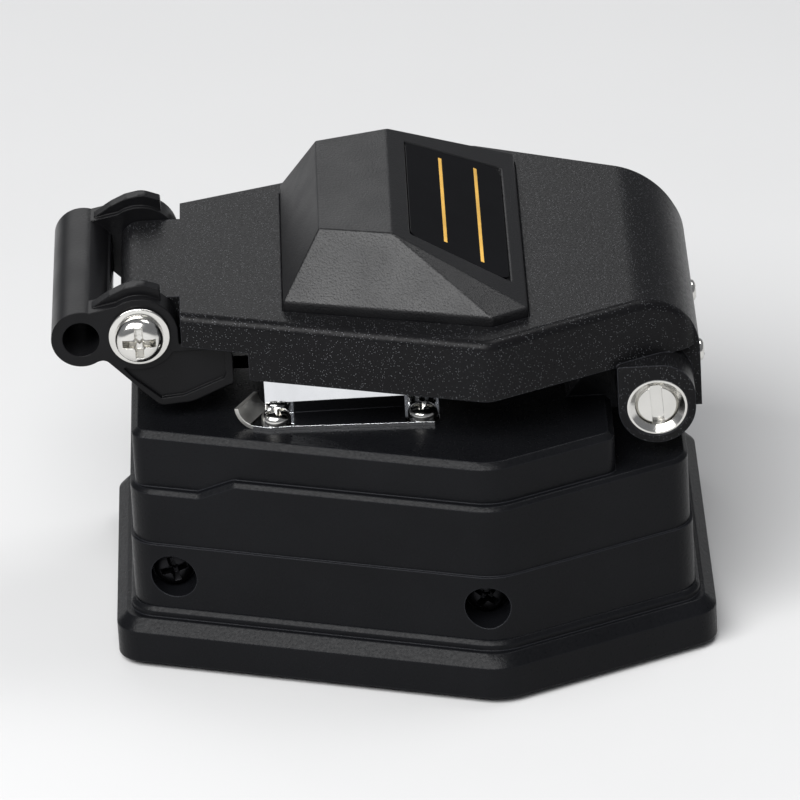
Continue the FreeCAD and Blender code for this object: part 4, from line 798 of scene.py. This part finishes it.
class LabelField:
    """The label's own axes: across the part, down the slope and out of it."""

    def __init__(self):
        form = welded("label_plate")
        face = max(form.faces, key=lambda item: item.normal.z * item.calc_area())
        self.out = face.normal.copy()
        self.across = Vector((1, 0, 0))
        self.down = self.out.cross(self.across)
        if self.down.z > 0:
            self.down = -self.down
        self.origin = face.calc_center_median()
        self.corners = [self.flat(vert.co) for vert in face.verts]
        form.free()

    def flat(self, point):
        """A point's place across the label and down it."""
        reach = point - self.origin
        return reach.dot(self.across), reach.dot(self.down)

    def edge(self, down):
        """Half the label's width at a place down the slope."""
        low = min(self.corners, key=lambda corner: corner[1])
        high = max(self.corners, key=lambda corner: corner[1])
        share = (down - low[1]) / (high[1] - low[1])
        return abs(low[0]) + (abs(high[0]) - abs(low[0])) * share

    def stand(self, form):
        """Turns a form drawn flat onto the label's face."""
        turn = Matrix((self.across, self.down, self.across.cross(self.down))).transposed().to_4x4()
        flip = 1 if self.across.cross(self.down).dot(self.out) > 0 else -1
        scale = Matrix.Diagonal((1, 1, flip, 1))
        bmesh.ops.transform(form, matrix=Matrix.Translation(self.origin) @ turn @ scale, verts=form.verts)
        bmesh.ops.recalc_face_normals(form, faces=form.faces)
        return form


class CLEAVER_OT_label(Operator):
    """Builds the bare label with its two gold rules."""

    bl_idname = "cleaver.label"
    bl_label = "Label"

    def execute(self, context):
        field = LabelField()
        outline = rounded_corners(field.corners, LABEL_CORNER)
        plate = field.stand(frustum(outline, outline, -LABEL_THICKNESS, 0))
        piece = shown(crease_form(plate), "label_plate_form", BODY_OF["label_plate"], "label_black")
        soften(piece, LABEL_ROUND, angle=LABEL_ROUND_ANGLE)
        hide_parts("label_plate")
        top = min(corner[1] for corner in field.corners)
        span = max(corner[1] for corner in field.corners) - top
        rules = []
        for share, near, far in RULES:
            down = top + span * share
            right, left = field.edge(down) * near, -field.edge(down) * far
            above, below = down - RULE_HALF_WIDTH, down + RULE_HALF_WIDTH
            bar = [(right, above), (right, below), (left, below), (left, above)]
            rules.append(field.stand(frustum(bar, bar, 0, RULE_HEIGHT)))
        whole = crease_form(joined(rules))
        shown(whole, "label_rules", BODY_OF["label_plate"], "label_black", FINISHES["gold"])
        return {"FINISHED"}


GUARD_HEAD_REACH = 2.0 * MM
GUARD_CREASE = 1.9 * MM
GUARD_WALL_REACH = 4.0 * MM
GUARD_CURL_START = 0.6 * MM


class CLEAVER_OT_guard(Operator):
    """Builds the guard: bright sheet, black between its screws as a painted dark reflection, with a brushed
    curl whose lighter tint is a painted highlight.
    """

    bl_idname = "cleaver.guard"
    bl_label = "Guard"

    def execute(self, context):
        form = welded("guard_plate")
        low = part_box("guard_plate")[0]
        heads = sorted(((near + far) / 2).y for near, far in solids("guard_screws"))
        ends = (heads[0] + GUARD_HEAD_REACH, heads[1] - GUARD_HEAD_REACH)
        crease = low.z + GUARD_CREASE
        for place, way in ((ends[0], (0, 1, 0)), (ends[1], (0, 1, 0)), (crease, (0, 0, 1))):
            point = tuple(place * axis for axis in way)
            parts = [*form.verts, *form.edges, *form.faces]
            bmesh.ops.bisect_plane(form, geom=parts, plane_co=point, plane_no=way)
        wall_end = low.x + GUARD_WALL_REACH
        for face in form.faces:
            middle = face.calc_center_median()
            between = ends[0] < middle.y < ends[1] and middle.z < crease
            outward = face.normal.z > 0.5 or (face.normal.x > 0.5 and middle.x < wall_end)
            # Painted dark reflection: the bright sheet takes black paint on its wall and flange between the
            # screws, where it mirrors dark parts.
            if between and outward:
                face.material_index = 1
            elif middle.y < heads[0] - GUARD_HEAD_REACH and middle.z > low.z + GUARD_CURL_START:
                face.material_index = 2
        piece = shown(crease_form(form), "guard_plate_form", BODY_OF["guard_plate"], "polished_steel")
        # The black paint on this sheet is a painted dark reflection.
        piece.data.materials.append(FINISHES["black_paint"])
        piece.data.materials.append(FINISHES["curl_steel"])
        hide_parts("guard_plate")
        return {"FINISHED"}


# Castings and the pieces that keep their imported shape


class CLEAVER_OT_castings(Operator):
    """Rounds the edges of the castings and the mouldings."""

    bl_idname = "cleaver.castings"
    bl_label = "Castings"

    def execute(self, context):
        round_width = context.scene.cleaver_sizes.edge_round
        for node in ("base_casting", "base_plate", "lid_shell", "latch_frame"):
            softened_node(f"{node}_form", node, round_width)
        hump = softened_node("hump_cover_form", "hump_cover", round_width * 2, 3)
        hump.data.materials[0] = FINISHES["hump_plastic"]
        return {"FINISHED"}


class CLEAVER_OT_carried_pieces(Operator):
    """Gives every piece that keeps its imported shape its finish."""

    bl_idname = "cleaver.carried_pieces"
    bl_label = "Carried pieces"

    def execute(self, context):
        dress_nodes(frame["nodes"])
        return {"FINISHED"}


# Add-on


class CLEAVER_PT_sidebar(Panel):
    """Lists the steps that build the cleaver."""

    bl_idname = "CLEAVER_PT_sidebar"
    bl_label = "Fibre cleaver"
    bl_space_type = "VIEW_3D"
    bl_region_type = "UI"
    bl_category = "Cleaver"

    def draw(self, context):
        for step in STEPS:
            self.layout.operator(step.bl_idname)
        for group in (context.scene.cleaver_sizes, context.scene.cleaver_finishes):
            for field in group.__annotations__:
                self.layout.prop(group, field)


STEPS = (
    CLEAVER_OT_stage, CLEAVER_OT_finishes, CLEAVER_OT_castings, CLEAVER_OT_screws,
    CLEAVER_OT_washers, CLEAVER_OT_hinge, CLEAVER_OT_label, CLEAVER_OT_guard, CLEAVER_OT_carried_pieces,
)
CLASSES = (CleaverFinishes, CleaverSizes, *STEPS, CLEAVER_PT_sidebar)


def register():
    """Adds the classes and the scene's settings."""
    for item in CLASSES:
        bpy.utils.register_class(item)
    bpy.types.Scene.cleaver_finishes = PointerProperty(type=CleaverFinishes)
    bpy.types.Scene.cleaver_sizes = PointerProperty(type=CleaverSizes)


def unregister():
    """Takes the classes and the scene's settings away."""
    del bpy.types.Scene.cleaver_sizes
    del bpy.types.Scene.cleaver_finishes
    for item in reversed(CLASSES):
        bpy.utils.unregister_class(item)


def main():
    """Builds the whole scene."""
    register()
    for step in STEPS:
        group, name = step.bl_idname.split(".")
        getattr(getattr(bpy.ops, group), name)()


if __name__ == "__main__":
    main()
